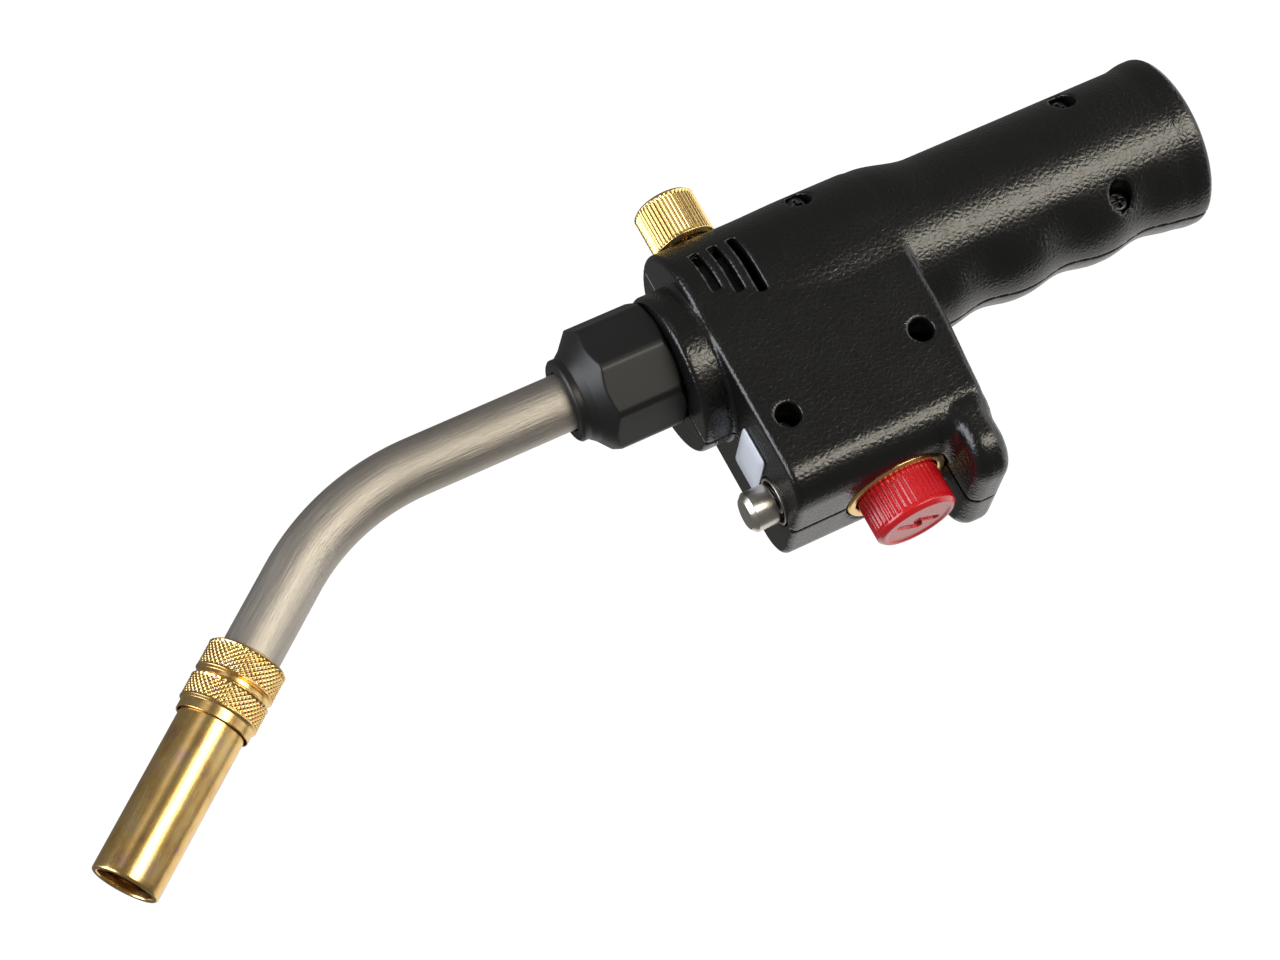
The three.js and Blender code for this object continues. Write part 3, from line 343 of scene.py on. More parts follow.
# %% [markdown]
# Metals take their look from what scratches them. The tube is ground along its length,
# so its scratches are long streaks: a noise that is stretched along the tube and read
# from the tube's own UV map, so that it follows the bend. Turned brass has soft clouds
# of tarnish. The flame tube is stained by heat, from straw to copper.

# %% Metals
STRAW = (0.80, 0.51, 0.16, 1)
PALE_BRASS = (0.87, 0.63, 0.28, 1)


def ground_steel():
    """Streaks along the tube, read from its UV map."""
    paint = Finish("stainless_tube", (0.5, 0.47, 0.44), 0.45, 1.0)
    streaks = paint.noise(paint.place((14, 0.4, 1), "UV"), 9, 5, 0.7)
    long_tone = paint.noise(paint.place((7, 0.5, 1), "UV"), 3, 3)
    tone = (streaks * 1.3 + long_tone * 0.7 - 0.5).clipped()
    paint.feed("Base Color", paint.blend(
        tone, (0.30, 0.27, 0.235, 1), (0.56, 0.52, 0.47, 1)))
    paint.feed("Roughness", 0.36 + streaks * 0.24)
    paint.bump(streaks, 0.9, 0.14)
    return paint.material


def stained_brass():
    """Heat tints in clouds, over fine streaks."""
    paint = Finish("burner_brass", STRAW[:3], 0.22, 1.0)
    along = paint.place((5, 1.2, 1), "UV")
    clouds = paint.noise(along, 2.2, 4, 0.6)
    heat = paint.node("ValToRGB", {"stops": [
        (0.3, (0.60, 0.38, 0.27)), (0.43, (0.80, 0.50, 0.17)),
        (0.56, (0.86, 0.60, 0.24)), (0.72, (0.74, 0.50, 0.34)),
    ]}, {"Fac": clouds})
    paint.feed("Base Color", heat)
    streaks = paint.noise(paint.place((20, 0.6, 1), "UV"), 7, 4, 0.6)
    paint.feed("Roughness", 0.17 + streaks * 0.16)
    paint.bump(streaks, 0.1, 0.03)
    return paint.material


def plain_brass(name, roughness):
    """Two brasses, blended by a soft noise."""
    paint = Finish(name, PALE_BRASS[:3], roughness, 1.0)
    where = paint.place()
    tarnish = paint.noise(where, 260, 4)
    paint.feed("Base Color", paint.blend(tarnish, STRAW, PALE_BRASS))
    fine = paint.noise(where, 2600, 2)
    paint.feed("Roughness", roughness - 0.08 + fine * 0.16)
    paint.bump(fine, 0.12, 0.02)
    return paint.material


def grey_metal(name, color, roughness, spread):
    """Soft spots in colour and roughness."""
    paint = Finish(name, color, roughness, 1.0)
    where = paint.place()
    spots = paint.noise(where, 420, 4)
    darker = tuple(0.72 * c for c in color)
    paint.feed("Base Color", paint.blend(spots, (*darker, 1), (*color, 1)))
    paint.feed("Roughness", roughness - spread / 2 + spots * spread)
    paint.bump(paint.noise(where, 3000, 2), 0.08, 0.02)
    return paint.material

# %% [markdown]
# The button is glossy red plastic, the label is brushed foil, and the rest is inside:
# rubber seals, silicone leads, a glazed insulator and the igniter's blue case.

# %% Plastics, rubber and foil
def moulded(name, color, roughness, grain_scale=1800, **constants):
    """A plastic with soft tones and a fine grain."""
    paint = Finish(name, color, roughness, **constants)
    where = paint.place()
    grain = paint.noise(where, grain_scale, 3)
    tone = paint.noise(where, 150, 3)
    deeper = tuple(0.82 * c for c in color)
    paint.feed("Base Color", paint.blend(tone, (*deeper, 1), (*color, 1)))
    paint.feed("Roughness", roughness - 0.05 + grain * 0.1)
    paint.bump(grain, 0.15, 0.03)
    return paint.material


def foil():
    """Streaks: a noise stretched along Y."""
    paint = Finish("silver_foil", (0.78, 0.82, 0.9), 0.34, 0.1)
    streaks = paint.noise(paint.place((1, 0.04, 1)), 2600, 3)
    paint.feed("Roughness", 0.26 + streaks * 0.16)
    paint.bump(streaks, 0.08, 0.02)
    return paint.material


# The working model's materials have these names too, so Blender numbers the new ones.
finishes = {made.name.split(".")[0]: made for made in (
    leather_black(), satin_black(), ground_steel(), stained_brass(),
    plain_brass("knurled_brass", 0.25),
    plain_brass("turned_brass", 0.27),
    grey_metal("nickel_plate", (0.74, 0.70, 0.63), 0.3, 0.14),
    grey_metal("spring_steel", (0.5, 0.5, 0.51), 0.3, 0.15),
    # zinc_plate is near-black: painted shade for the screws deep in their wells and for the
    # valve block seen through the vents.
    grey_metal("zinc_plate", (0.07, 0.07, 0.075), 0.4, 0.2),
    moulded("black_rubber", (0.02, 0.02, 0.02), 0.75),
    moulded("lead_insulation", (0.03, 0.03, 0.035), 0.6),
    moulded("red_plastic", (0.66, 0.011, 0.02), 0.27, 1200, coat=0.3),
    moulded("blue_plastic", (0.04, 0.1, 0.34), 0.45),
    moulded("ceramic", (0.85, 0.82, 0.74), 0.3, 900, coat=0.5),
    foil(),
)}
print(len(finishes), "finishes")

# %% [markdown]
# ## From arrays to pieces
# A surface is a grid of points, rows by columns. `grid_faces` numbers its quads with
# array arithmetic and closes the grid on itself. `build_mesh` merges the corners that
# fall together at a pole, and `piece` sets the finish and the body it rides on.

# %% Mesh helpers
def grid_faces(rows, columns, close_rows=False):
    """Quads between neighbouring rows and columns, counted row by row."""
    r = np.arange(rows if close_rows else rows - 1)
    low, left = [a.ravel() for a in np.meshgrid(r, np.arange(columns), indexing="ij")]
    high, right = (low + 1) % rows, (left + 1) % columns
    corners = [low * columns + left, low * columns + right,
               high * columns + right, high * columns + left]
    return np.stack(corners, axis=1)


def build_mesh(name, points, faces, uv=None):
    """A mesh in metres from millimetre points, with coinciding corners merged."""
    mesh = bpy.data.meshes.new(name)
    mesh.from_pydata((points * MM).tolist(), [], faces.tolist())
    if uv is not None:
        layer = mesh.uv_layers.new(name="surface")
        layer.data.foreach_set("uv", uv.astype(np.float32).ravel())
    work = bmesh.new()
    work.from_mesh(mesh)
    bmesh.ops.remove_doubles(work, verts=work.verts, dist=0.0005 * MM)
    bmesh.ops.recalc_face_normals(work, faces=work.faces)
    work.to_mesh(mesh)
    work.free()
    mesh.shade_smooth()
    return mesh


def piece(name, points, faces, body, finish, nodes, uv=None):
    """Makes a surface a piece that rides a body and stands for CAD nodes."""
    mesh = build_mesh(name, points, faces, uv)
    made = bpy.data.objects.new(name, mesh)
    bpy.context.scene.collection.objects.link(made)
    mesh.materials.append(finishes[finish])
    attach(made, body)
    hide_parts(*nodes)
    print(f"{name}: {len(mesh.polygons)} faces")
    return made

# %% [markdown]
# Most pieces are turned on a lathe. A profile is a list of corners: radius, height and
# rounding. `rounded` swaps each corner for a short curve, because no real edge is sharp
# and a rounded edge catches the light. `turned` carries the profile round the axis, and
# a `shape` function may push points in or out, which is how knurls and ribs are cut.

# %% Lathe helpers
def arc_corner(before, corner, after, radius, steps=5):
    """A curve for a corner: (1-t)^2 start + 2t(1-t) corner + t^2 end.

    Start and end lie radius / tan(half the opening) from the corner.
    """
    one, two = unit(before - corner), unit(after - corner)
    opening = math.acos(float(np.clip(one @ two, -1, 1)))
    reach = radius / math.tan(opening / 2)
    longest = 0.45 * min(np.linalg.norm(before - corner), np.linalg.norm(after - corner))
    reach = min(reach, longest)
    start, end = corner + reach * one, corner + reach * two
    t = np.linspace(0, 1, steps)[:, None]
    return (1 - t) ** 2 * start + 2 * t * (1 - t) * corner + t ** 2 * end


def rounded(profile, closed=False):
    """A profile of (radius, height, rounding) corners as points with rounded corners."""
    corners = np.array([p[:2] for p in profile], float)
    bends = [p[2] if len(p) > 2 else 0 for p in profile]
    count = len(corners)
    out = []
    for i, bend in enumerate(bends):
        ends = (i == 0 or i == count - 1) and not closed
        if bend == 0 or ends:
            out.append(corners[i][None])
        else:
            after = corners[(i + 1) % count]
            out.append(arc_corner(corners[i - 1], corners[i], after, bend))
    return np.concatenate(out)


def split(points, longest):
    """The same line, each stretch cut into equal parts no longer than that."""
    out = [points[:1]]
    for a, b in zip(points[:-1], points[1:]):
        count = max(1, math.ceil(np.linalg.norm(b - a) / longest))
        out.append(a + (b - a) * np.arange(1, count + 1)[:, None] / count)
    return np.concatenate(out)


def turned(profile, sides=96, shape=None, closed=False, longest=3.0):
    """A profile turned about Z: (r cos a, r sin a, h), once shape has changed r and h."""
    line, again = rounded(profile, closed), int(closed)
    line = split(np.concatenate([line, line[:again]]), longest)
    line = line[:len(line) - again]
    angle = np.arange(sides) * 2 * np.pi / sides
    radius = np.repeat(line[:, :1], sides, axis=1)
    height = np.repeat(line[:, 1:], sides, axis=1)
    turn = np.broadcast_to(angle, radius.shape)
    if shape is not None:
        radius, height = shape(radius, turn, height)
    points = np.stack([radius * np.cos(turn), radius * np.sin(turn), height], axis=-1)
    faces = grid_faces(*radius.shape, close_rows=closed)
    return points.reshape(-1, 3), faces


def along_x(points):
    """Points made about Z, laid along X: (x, y, z) becomes (z, y, -x)."""
    return np.stack([points[:, 2], points[:, 1], -points[:, 0]], axis=1)


def along_y(points):
    """Points made about Z, laid along Y: (x, y, z) becomes (x, z, -y)."""
    return np.stack([points[:, 0], points[:, 2], -points[:, 1]], axis=1)


def lathe_piece(name, profile, body, finish, nodes, at=(0, 0, 0), lay=np.array, **settings):
    """Turns a profile, lays it along its axis and moves it there."""
    points, faces = turned(profile, **settings)
    piece(name, lay(points) + at, faces, body, finish, nodes)

# %% [markdown]
# ## The housing
# The grip is a round handle, a deep body, a finger guard and a round nose, melted
# together with small fillets and pierced by wells, vents and seats. A lathe can't make
# such joins. A distance field can: each simple shape is a function that is negative
# inside it, the smaller of two functions joins them, and a rounded minimum or maximum
# leaves a fillet. The surface is where the field is zero.

# %% Joining and cutting with fillets
def both(a, b, fillet):
    """Inside both, edge rounded: max(a, b), and hypot(a + f, b + f) - f near the edge."""
    u, v = np.maximum(fillet + a, 0), np.maximum(fillet + b, 0)
    return np.minimum(-fillet, np.maximum(a, b)) + np.hypot(u, v)


def either(a, b, fillet):
    """Inside a or b, with a filleted join: -both(-a, -b)."""
    return -both(-a, -b, fillet)


def without(a, hole, fillet):
    """Inside a and outside the hole, with a rounded edge."""
    return both(a, -hole, fillet)


def smooth_step(t):
    """A step from 0 to 1 without corners: t^2 (3 - 2t)."""
    t = np.clip(t, 0, 1)
    return t * t * (3 - 2 * t)


print("two faces in one place swell by", -round(float(either(0, 0, 1)), 3), "of a fillet")

# %% [markdown]
# The handle is a cylinder with a flared rim and three finger grooves: one wave of a
# cosine each, deepest on the underside and fading out up the sides. The body's section
# is a round arch on straight sides. The handle runs on through the body, where it stands
# out as a low bulge that dies out at the vents. A filleted join swells where two faces
# lie side by side, so the guard's join is cut back to the body's own sides and rear.

# %% Outer shape of the housing
HANDLE_R = rim_r - 0.7
BODY_SIDE = HANDLE_R - 0.55
BODY_REAR, BODY_FRONT, BODY_LOW = 74.7, nose_end - 7, -47.5
CORNER_R = 8.3
NOSE_X, NOSE_R = -4.0, 17.8
GROOVE_HALF, GROOVE_DEPTH = 9.6, 1.35
GROOVE_PLACES = (15.5, 36.0, 56.5)
GUARD_THICKNESS = 8.2
TOP_RISE_START, TOP_RISE_LENGTH = 58.5, 13.0


def handle_field(x, y, z):
    """Distance from the axis - radius - flare + grooves, each depth (1 + cos) / 2.

    Past TOP_RISE_START the axis widens into a strip that lifts the top.
    """
    flare = 0.65 * smooth_step((7.0 - z) / 4.5)
    lift = (body_top - HANDLE_R) * smooth_step((z - TOP_RISE_START) / TOP_RISE_LENGTH)
    fading = 1.5 * smooth_step((z - 88) / 24)
    round_part = np.hypot(x - np.clip(x, 0, lift), y) - HANDLE_R - flare + fading
    facing_down = smooth_step((-x / (np.hypot(x, y) + 0.1) - 0.5) / 0.42)
    for place in GROOVE_PLACES:
        wave = 1 + np.cos(np.pi * np.clip(np.abs(z - place) / GROOVE_HALF, 0, 1))
        round_part = round_part + GROOVE_DEPTH * facing_down * wave / 2
    return both(both(round_part, -z, 1.1), z - 116, 1.0)


def body_section(x, y, low):
    """Seen along Z: distance from a line - side, for an arch on straight sides."""
    arch = np.hypot(np.maximum(x - (body_top - BODY_SIDE), 0), y) - BODY_SIDE
    return both(arch, low - x, CORNER_R)


def rear_face(x, z):
    """The body's rear: a plane across Z, stepped by 2.2 mm where x is low."""
    return BODY_REAR - 2.2 * smooth_step((x + 48) / 32) - z


def body_field(x, y, z):
    """The section, between the rear face and the front plane."""
    block = both(body_section(x, y, BODY_LOW), rear_face(x, z), 1.6)
    return both(block, z - BODY_FRONT, 1.2)


def guard_field(x, y, z):
    """The longer section, inside |z - centre| < half a thickness and below x = -43."""
    centre = BODY_REAR + 0.5 + GUARD_THICKNESS / 2
    slab = np.abs(z - centre) - GUARD_THICKNESS / 2
    guard = both(body_section(x, y, guard_end), slab, 3.2)
    return both(guard, x + 43, 2)


def outer_field(x, y, z):
    """Body or guard, inside their section and rear face, or handle, or nose."""
    deep = either(body_field(x, y, z), guard_field(x, y, z), 2.6)
    deep = np.maximum(deep, body_section(x, y, guard_end))
    deep = np.maximum(deep, rear_face(x, z))
    shape = either(handle_field(x, y, z), deep, 0.9)
    nose = both(np.hypot(x - NOSE_X, y) - NOSE_R, np.abs(z - nose_end + 10) - 10, 1.0)
    return either(shape, nose, 0.7)

# %% [markdown]
# Inside, the halves are hollow, with bosses for the screws, a rib for the lock pin and
# the round seat of the gas inlet. Then come the openings: vents, wells over the screws,
# and the seats of the knob, the button's ring, the lock pin and the swivel. `openings`
# pairs each one with the rounding of its rim.

# %% Inner shape of the housing
WALL, SEAM = 2.4, 0.15
well_places = [middle(f"housing_screw_{i}")[[X, Z]] for i in range(1, 6)]
well_floor = span("housing_screw_1")[0][Y] + 2.3
WELL_R, BOSS_R, SCREW_WAY_R = 2.75, 4.2, 1.7
NECK_R, BEARING_R = 6.3, 15.2
KNOB_SEAT_R, SPINDLE_WAY_R = 8.2, 4.8
seat_r = span("inlet_body")[1][X] + 0.3
seat_end = 17.9
rib_low = span("pin_clip")[1][Z] + 0.3


def capped(radial, coordinate, low, high):
    """The greater of a field across and |height - middle| - half the length."""
    return np.maximum(radial, np.abs(coordinate - (low + high) / 2) - (high - low) / 2)


def hollow_field(x, y, z):
    """Seat, neck, bearing or room, but outside the screws' bosses and the pin's rib."""
    radial = np.hypot(x, y)
    seat = capped(radial - seat_r, z, -9, seat_end)
    neck = capped(radial - NECK_R, z, -9, BODY_REAR)
    bore = capped(radial - BEARING_R, z, seat_end + WALL, BODY_REAR + 2 * WALL)
    section = body_section(x, y, BODY_LOW) + WALL
    room = capped(section, z, BODY_REAR + WALL, BODY_FRONT - WALL)
    hollow = np.minimum(np.minimum(seat, neck), either(bore, room, 0.6))
    for px, pz in well_places:
        hollow = np.maximum(hollow, BOSS_R - np.hypot(x - px, z - pz))
    rib = np.maximum(np.abs(x - pin_x) - 5, np.abs(z - rib_low - 0.8) - 0.8)
    return np.maximum(hollow, -rib)


VENT_PLACES = (105.2, 109.6, 114.0)
VENT_TOP, VENT_LENGTH, VENT_SHORTER = 13.0, 15.0, 2.1


def vents_field(x, y, z):
    """Three boxes: max(|z - place| - half width, |x - middle| - half length)."""
    slots = np.full(np.broadcast(x, y, z).shape, 99.0)
    for i, place in enumerate(VENT_PLACES):
        low = VENT_TOP - VENT_LENGTH + i * VENT_SHORTER
        across = np.abs(z - place) - 1.0
        tall = np.abs(x - (low + VENT_TOP) / 2) - (VENT_TOP - low) / 2
        slots = np.minimum(slots, np.maximum(across, tall))
    return np.maximum(slots, HANDLE_R - 3 * WALL - np.abs(y))


def openings(x, y, z):
    """Yields boxes and rounds, distance from the axis - radius, with their rims."""
    yield vents_field(x, y, z), 0.35
    for px, pz in well_places:
        radial = np.hypot(x - px, z - pz)
        yield np.maximum(radial - WELL_R, y - well_floor), 0.35
        yield np.maximum(radial - SCREW_WAY_R, np.abs(y) - 9.3), 0.05
    knob = np.hypot(y, z - knob_axis_z)
    yield np.maximum(knob - KNOB_SEAT_R, span("flow_knob")[0][X] - 0.3 - x), 0.35
    yield np.maximum(knob - SPINDLE_WAY_R, 13 - x), 0.2
    button = np.hypot(y, z - button_axis_z)
    ring_low, ring_high = span("button_ring")
    yield np.maximum(button - (ring_high[Y] + 0.3), x - ring_low[X] - 1.6), 0.3
    yield np.maximum(button - (ring_high[Y] - 0.8), x + 39.8), 0.1
    pin = np.hypot(x - pin_x, y)
    yield np.maximum(pin - span("pin_bush")[1][Y] - 0.3, rib_low + 1.6 - z), 0.3
    yield np.maximum(pin - 1.95, np.abs(z - rib_low) - 9), 0.05
    bush_r = span("swivel_bush")[1][Y] - 1.5
    yield np.maximum(np.hypot(x, y) - bush_r, rib_low - z), 0.3


def housing_field(x, y, z, side):
    """Outside the hollow, every opening and the seam; side is 1 for left, -1 for right."""
    solid = np.maximum(outer_field(x, y, z), -hollow_field(x, y, z))
    for hole, rim in openings(x, y, z):
        solid = without(solid, hole, rim)
    return both(solid, SEAM - side * y, 0.12)

# %% [markdown]
# To turn the field into a mesh, it is sampled on a grid of small cells. Every cell that
# the surface passes gets one corner, at the average of the points where the surface
# crosses the cell's edges, and every crossed grid edge gets a quad of its four cells. A
# few steps down the field's slope bring each corner onto the surface. This is the
# surface-nets method.

# %% Surface nets
CELL = 0.62
CORNERS = np.array([[i, j, k] for i in (0, 1) for j in (0, 1) for k in (0, 1)])


def crossed_corners(values, cells):
    """The mean of a + a's value / (value of a - value of b) over each cell's cut edges."""
    at = [values[tuple((cells + c).T)] for c in CORNERS]
    total, count = np.zeros((len(cells), 3)), np.zeros(len(cells))
    for a, b in ((a, a | bit) for a in range(8) for bit in (1, 2, 4) if not a & bit):
        crossed = (at[a] < 0) != (at[b] < 0)
        share = np.where(crossed, at[a] / np.where(crossed, at[a] - at[b], 1), 0)
        step = CORNERS[a] + share[:, None] * (CORNERS[b] - CORNERS[a])
        total += np.where(crossed[:, None], step, 0)
        count += crossed
    return cells + total / count[:, None]


def net_faces(inside, number):
    """Quads round every grid edge that the surface crosses."""
    faces = []
    for axis in range(3):
        one, two = [a for a in range(3) if a != axis]
        edges = np.argwhere(np.diff(inside, axis=axis))
        keep = (edges[:, [one, two]] > 0).all(axis=1) & (edges < number.shape).all(axis=1)
        edges = edges[keep]
        ring = []
        for a, b in ((0, 0), (1, 0), (1, 1), (0, 1)):
            cell = edges.copy()
            cell[:, one] -= a
            cell[:, two] -= b
            ring.append(number[tuple(cell.T)])
        quads = np.stack(ring, axis=1)
        flip = inside[tuple(edges.T)] == (axis == 1)
        quads[flip] = quads[flip][:, ::-1]
        faces.append(quads)
    return np.concatenate(faces)


def settle(field, points, rounds=3):
    """Moves points onto the surface: point - value * slope / |slope|^2, a few times."""
    reach = 0.05
    shifts = np.eye(3) * reach
    for _ in range(rounds):
        value = field(*points.T)
        slope = np.stack([(field(*(points + s).T) - field(*(points - s).T)) / (2 * reach)
                          for s in shifts], axis=1)
        size = np.maximum((slope ** 2).sum(axis=1), 0.2)
        step = np.clip(value / size, -0.3 * CELL, 0.3 * CELL)
        points = points - step[:, None] * slope
    return points


def net_surface(field, low, high):
    """Points and faces of the field's zero surface inside a box."""
    axes = [np.arange(a, b + CELL, CELL) for a, b in zip(low, high)]
    values = field(*np.meshgrid(*axes, indexing="ij", sparse=True))
    inside = values < 0
    sums = inside.astype(int)
    for _ in range(3):
        sums = np.moveaxis(sums[1:] + sums[:-1], 0, -1)
    cells = np.argwhere((sums > 0) & (sums < 8))
    number = np.full(sums.shape, -1)
    number[tuple(cells.T)] = np.arange(len(cells))
    points = np.array([a[0] for a in axes]) + CELL * crossed_corners(values, cells)
    return settle(field, points), net_faces(inside, number)

# %% [markdown]
# Real halves come out of two moulds and meet in the plane y = 0. Here both are one
# field, each kept on its own side of the seam, so their outsides always match.

# %% The two housing halves
MARGIN = 1.7 * CELL
for hand, side in (("left", 1), ("right", -1)):
    node, name = f"housing_{hand}", f"housing_shell_{hand}"
    low, high = span(node)
    points, faces = net_surface(
        lambda x, y, z: housing_field(x, y, z, side), low - MARGIN, high + MARGIN)
    piece(name, np.clip(points, low, high), faces, "torch_body", "black_nylon", [node])

# %% [markdown]
# ## Fasteners and label
# The screws sit at the bottom of their wells. Each head is a low dome with a cross
# pressed into it: a disc of rings whose height drops where the point is close to one of
# the two arms of the cross.

# %% Housing screws
CROSS_DEPTH, ARM, REACH = 0.9, 0.42, 1.5


def screw(number, node):
    """A turned screw along Y, with a cross pressed into its head."""
    low, high = span(node)
    top, end = low[Y], high[Y]
    px, pz = middle(node)[[X, Z]]

    def cross(radius, angle, height):
        """Height + depth where min(|u|, |v|) < arm and radius < reach, on the face."""
        u, v = radius * np.cos(angle), radius * np.sin(angle)
        inside = np.minimum(ARM - np.minimum(np.abs(u), np.abs(v)), REACH - radius)
        push = CROSS_DEPTH * smooth_step(inside / 0.18)
        return radius, np.where(height < top + 0.5, height + push, height)

    profile = [(0, top), (2.3, top, 0.7), (2.3, top + 2, 0.1), (1.35, top + 2),
               (1.35, end - 1.5), (0.35, end), (0, end)]
    # The near-black zinc_plate finish is painted shade at the bottom of the well.
    lathe_piece(f"screw_{number}", profile, "torch_body", "zinc_plate", [node],
                (px, 0, pz), along_y, sides=64, shape=cross, longest=0.16)


for number in range(1, 6):
    screw(number, f"housing_screw_{number}")

# %% [markdown]
# A real label is a foil plate glued on. Here it is a few rings of one outline, from its
# foot over the rim to its middle. The outline is a circle whose cosine and sine are
# raised to a small power, which pushes it out into a rectangle with round corners.

# %% The blank label
low, high = span("rating_label")
centre, half = (low + high) / 2, (high - low) / 2
angle = np.arange(96) * 2 * np.pi / 96
cos, sin = np.cos(angle), np.sin(angle)
SQUARENESS = 0.16
ring_x = np.sign(cos) * np.abs(cos) ** SQUARENESS
ring_y = np.sign(sin) * np.abs(sin) ** SQUARENESS
shrink = np.array([0, 1.0, 1.0, 0.985, 0.5, 0])[:, None]
lift = np.array([-1, -1, 0.4, 1, 1, 1])
points = np.stack([
    centre[X] + half[X] * shrink * ring_x,
    centre[Y] + half[Y] * shrink * ring_y,
    np.repeat((centre[Z] + half[Z] * lift)[:, None], 96, axis=1),
], axis=-1)
piece("label", points.reshape(-1, 3), grid_faces(6, 96), "torch_body", "silver_foil",
      ["rating_label"])

# %% [markdown]
# ## Knurls
# A knurl is pressed into a turned piece by a hard wheel. The flow knob's is straight:
# ridges along its axis, lightly crossed by rings. The tip ring's is a diamond: two sets
# of ridges that lean left and right. `ridge` is the outline of one set, sharp on top
# and round in the valley.

# %% The flow knob
def ridge(turns):
    """A ridge for each whole turn: 1 on its crest, 0 in the valley."""
    phase = turns - np.floor(turns)
    return 1 - np.abs(2 * phase - 1) ** 1.5


low, high = span("flow_knob")
outer = (high[Y] - low[Y]) / 2
base, top = low[X], high[X]
depth, ridges = 0.45, 46


def shape(radius, angle, height):
    """Radius - depth (1 - teeth (0.6 + 0.4 rings)), faded out at both ends."""
    ends = np.minimum(height - base - 0.9, top - 0.75 - height)
    cut = smooth_step(ends / 0.4) * (radius > outer - 0.2)
    teeth = ridge(ridges * angle / (2 * np.pi))
    rings = ridge(height - base)
    return radius - depth * cut * (1 - teeth * (0.6 + 0.4 * rings)), height


profile = [(2.2, base), (outer - 0.8, base, 0.2), (outer, base + 0.8, 0.2),
           (outer, top - 0.7, 0.3), (outer - 0.8, top, 0.35), (3.2, top, 0.3),
           (2.9, top - 2.2, 0.1), (1.5, top - 2.2), (1.5, base + 8.3), (2.2, base + 8.3)]
lathe_piece("knurled_knob", profile, "knob", "knurled_brass", ["flow_knob"],
            (0, 0, knob_axis_z), along_x,
            sides=8 * ridges, shape=shape, closed=True, longest=0.4)

low, high = span("knob_screw")
top = high[X]


def shape(radius, angle, height):
    """Height - 0.7 where the distance from the slot's middle line is under 0.4."""
    slot = smooth_step((0.4 - np.abs(radius * np.sin(angle))) / 0.12)
    return radius, np.where(height > top - 0.4, height - 0.7 * slot, height)


profile = [(0, low[X]), (1.15, low[X]), (1.15, top - 2), (2.45, top - 2), (2.45, top, 0.5),
           (0, top)]
lathe_piece("slotted_screw", profile, "knob", "nickel_plate", ["knob_screw"],
            (0, 0, knob_axis_z), along_x, sides=72, shape=shape, longest=0.16)

# %% [markdown]
# ## The red button
# The button is a thick cap with ribs round its side for the finger. Its flat end
# carries a sunk zigzag, the common sign for a spark. The end face is made of many
# rings, so the sign is real relief: a point sinks where it is close to a zigzag line.

# %% Button and ring
SPARK = np.array([[-4.6, -1.6], [0.5, 1.9], [-0.6, -1.9], [4.5, 1.6]])


def distance_to_line(u, v, corners):
    """The least distance to a + t (b - a) over all stretches, t kept within 0 and 1."""
    best = np.full(u.shape, 99.0)
    for a, b in zip(corners[:-1], corners[1:]):
        along = b - a
        t = np.clip(((u - a[0]) * along[0] + (v - a[1]) * along[1]) / (along @ along), 0, 1)
        best = np.minimum(best, np.hypot(u - a[0] - t * along[0], v - a[1] - t * along[1]))
    return best


low, high = span("trigger_button")
end, inner = low[X], high[X]
side_r, flange_x, ribs = 9.35, inner - 1.5, 44


def shape(radius, angle, height):
    """Radius - 0.33 (1 - rib) on the side; height + dish + mark on the end face."""
    ends = np.minimum(height - end - 1.5, flange_x - 0.6 - height)
    cut = smooth_step(ends / 0.5) * (np.abs(radius - side_r) < 0.15)
    shallow = 0.33 * cut * (1 - ridge(ribs * angle / (2 * np.pi)))
    u, v = radius * np.cos(angle), radius * np.sin(angle)
    mark = smooth_step((0.85 - distance_to_line(u, v, SPARK)) / 0.2)
    dish = 0.3 * smooth_step((7.6 - radius) / 0.4)
    on_face = height < end + 0.12
    return radius - shallow, height + on_face * (dish + 0.7 * mark)


profile = [(0, end), (side_r - 0.9, end, 0.5), (side_r, end + 0.9, 0.5), (side_r, flange_x),
           (10.0, flange_x, 0.2), (10.0, inner, 0.2), (7.6, inner, 0.2),
           (7.5, end + 11.5, 0.5), (0, end + 11.5)]
lathe_piece("ribbed_button", profile, "button", "red_plastic", ["trigger_button"],
            (0, 0, button_axis_z), along_x,
            sides=6 * ribs, shape=shape, longest=0.22)

low, high = span("button_ring")
face, end, flange = low[X], high[X], (high[Y] - low[Y]) / 2
profile = [(9.75, face + 0.3, 0.1), (10.1, face, 0.15), (flange - 0.4, face, 0.3),
           (flange, face + 0.5, 0.2), (flange, face + 1.3, 0.1), (10.6, face + 1.3),
           (10.6, end, 0.2), (9.75, end, 0.2)]
lathe_piece("brass_collar", profile, "torch_body", "turned_brass", ["button_ring"],
            (0, 0, button_axis_z), along_x, closed=True, sides=128)

# %% [markdown]
# ## The lock pin
# A plated pin with a chamfered head slides in a thin steel bush at the front corner.

# %% Pin and bush
low, high = span("lock_pin")
head_r = (high[Y] - low[Y]) / 2
top, foot = high[Z], low[Z]
back = top - 6
profile = [(0, foot), (1.6, foot, 0.3), (1.6, back), (head_r, back, 0.3),
           (head_r, top - 1.1, 0.25), (head_r - 1.1, top, 0.3), (0, top)]
lathe_piece("plated_pin", profile, "lock", "nickel_plate", ["lock_pin"],
            (pin_x, 0, 0))
low, high = span("pin_bush")
outer_r, end, foot = (high[Y] - low[Y]) / 2, high[Z], low[Z]
profile = [(1.95, foot), (outer_r, foot, 0.2), (outer_r, end, 0.15),
           (head_r + 0.35, end, 0.15), (head_r + 0.35, foot + 1), (1.95, foot + 1)]
lathe_piece("pin_sleeve", profile, "torch_body", "nickel_plate", ["pin_bush"],
            (pin_x, 0, 0), closed=True)

# %% [markdown]
# ## The swivel collar
# The collar is an eight-sided bar with one end turned down to a round neck. Its radius
# at any angle is the smaller of two: the turned profile, and the octagon's own radius,
# flat distance / cos(angle from the flat's middle). A third limit breaks the corners.

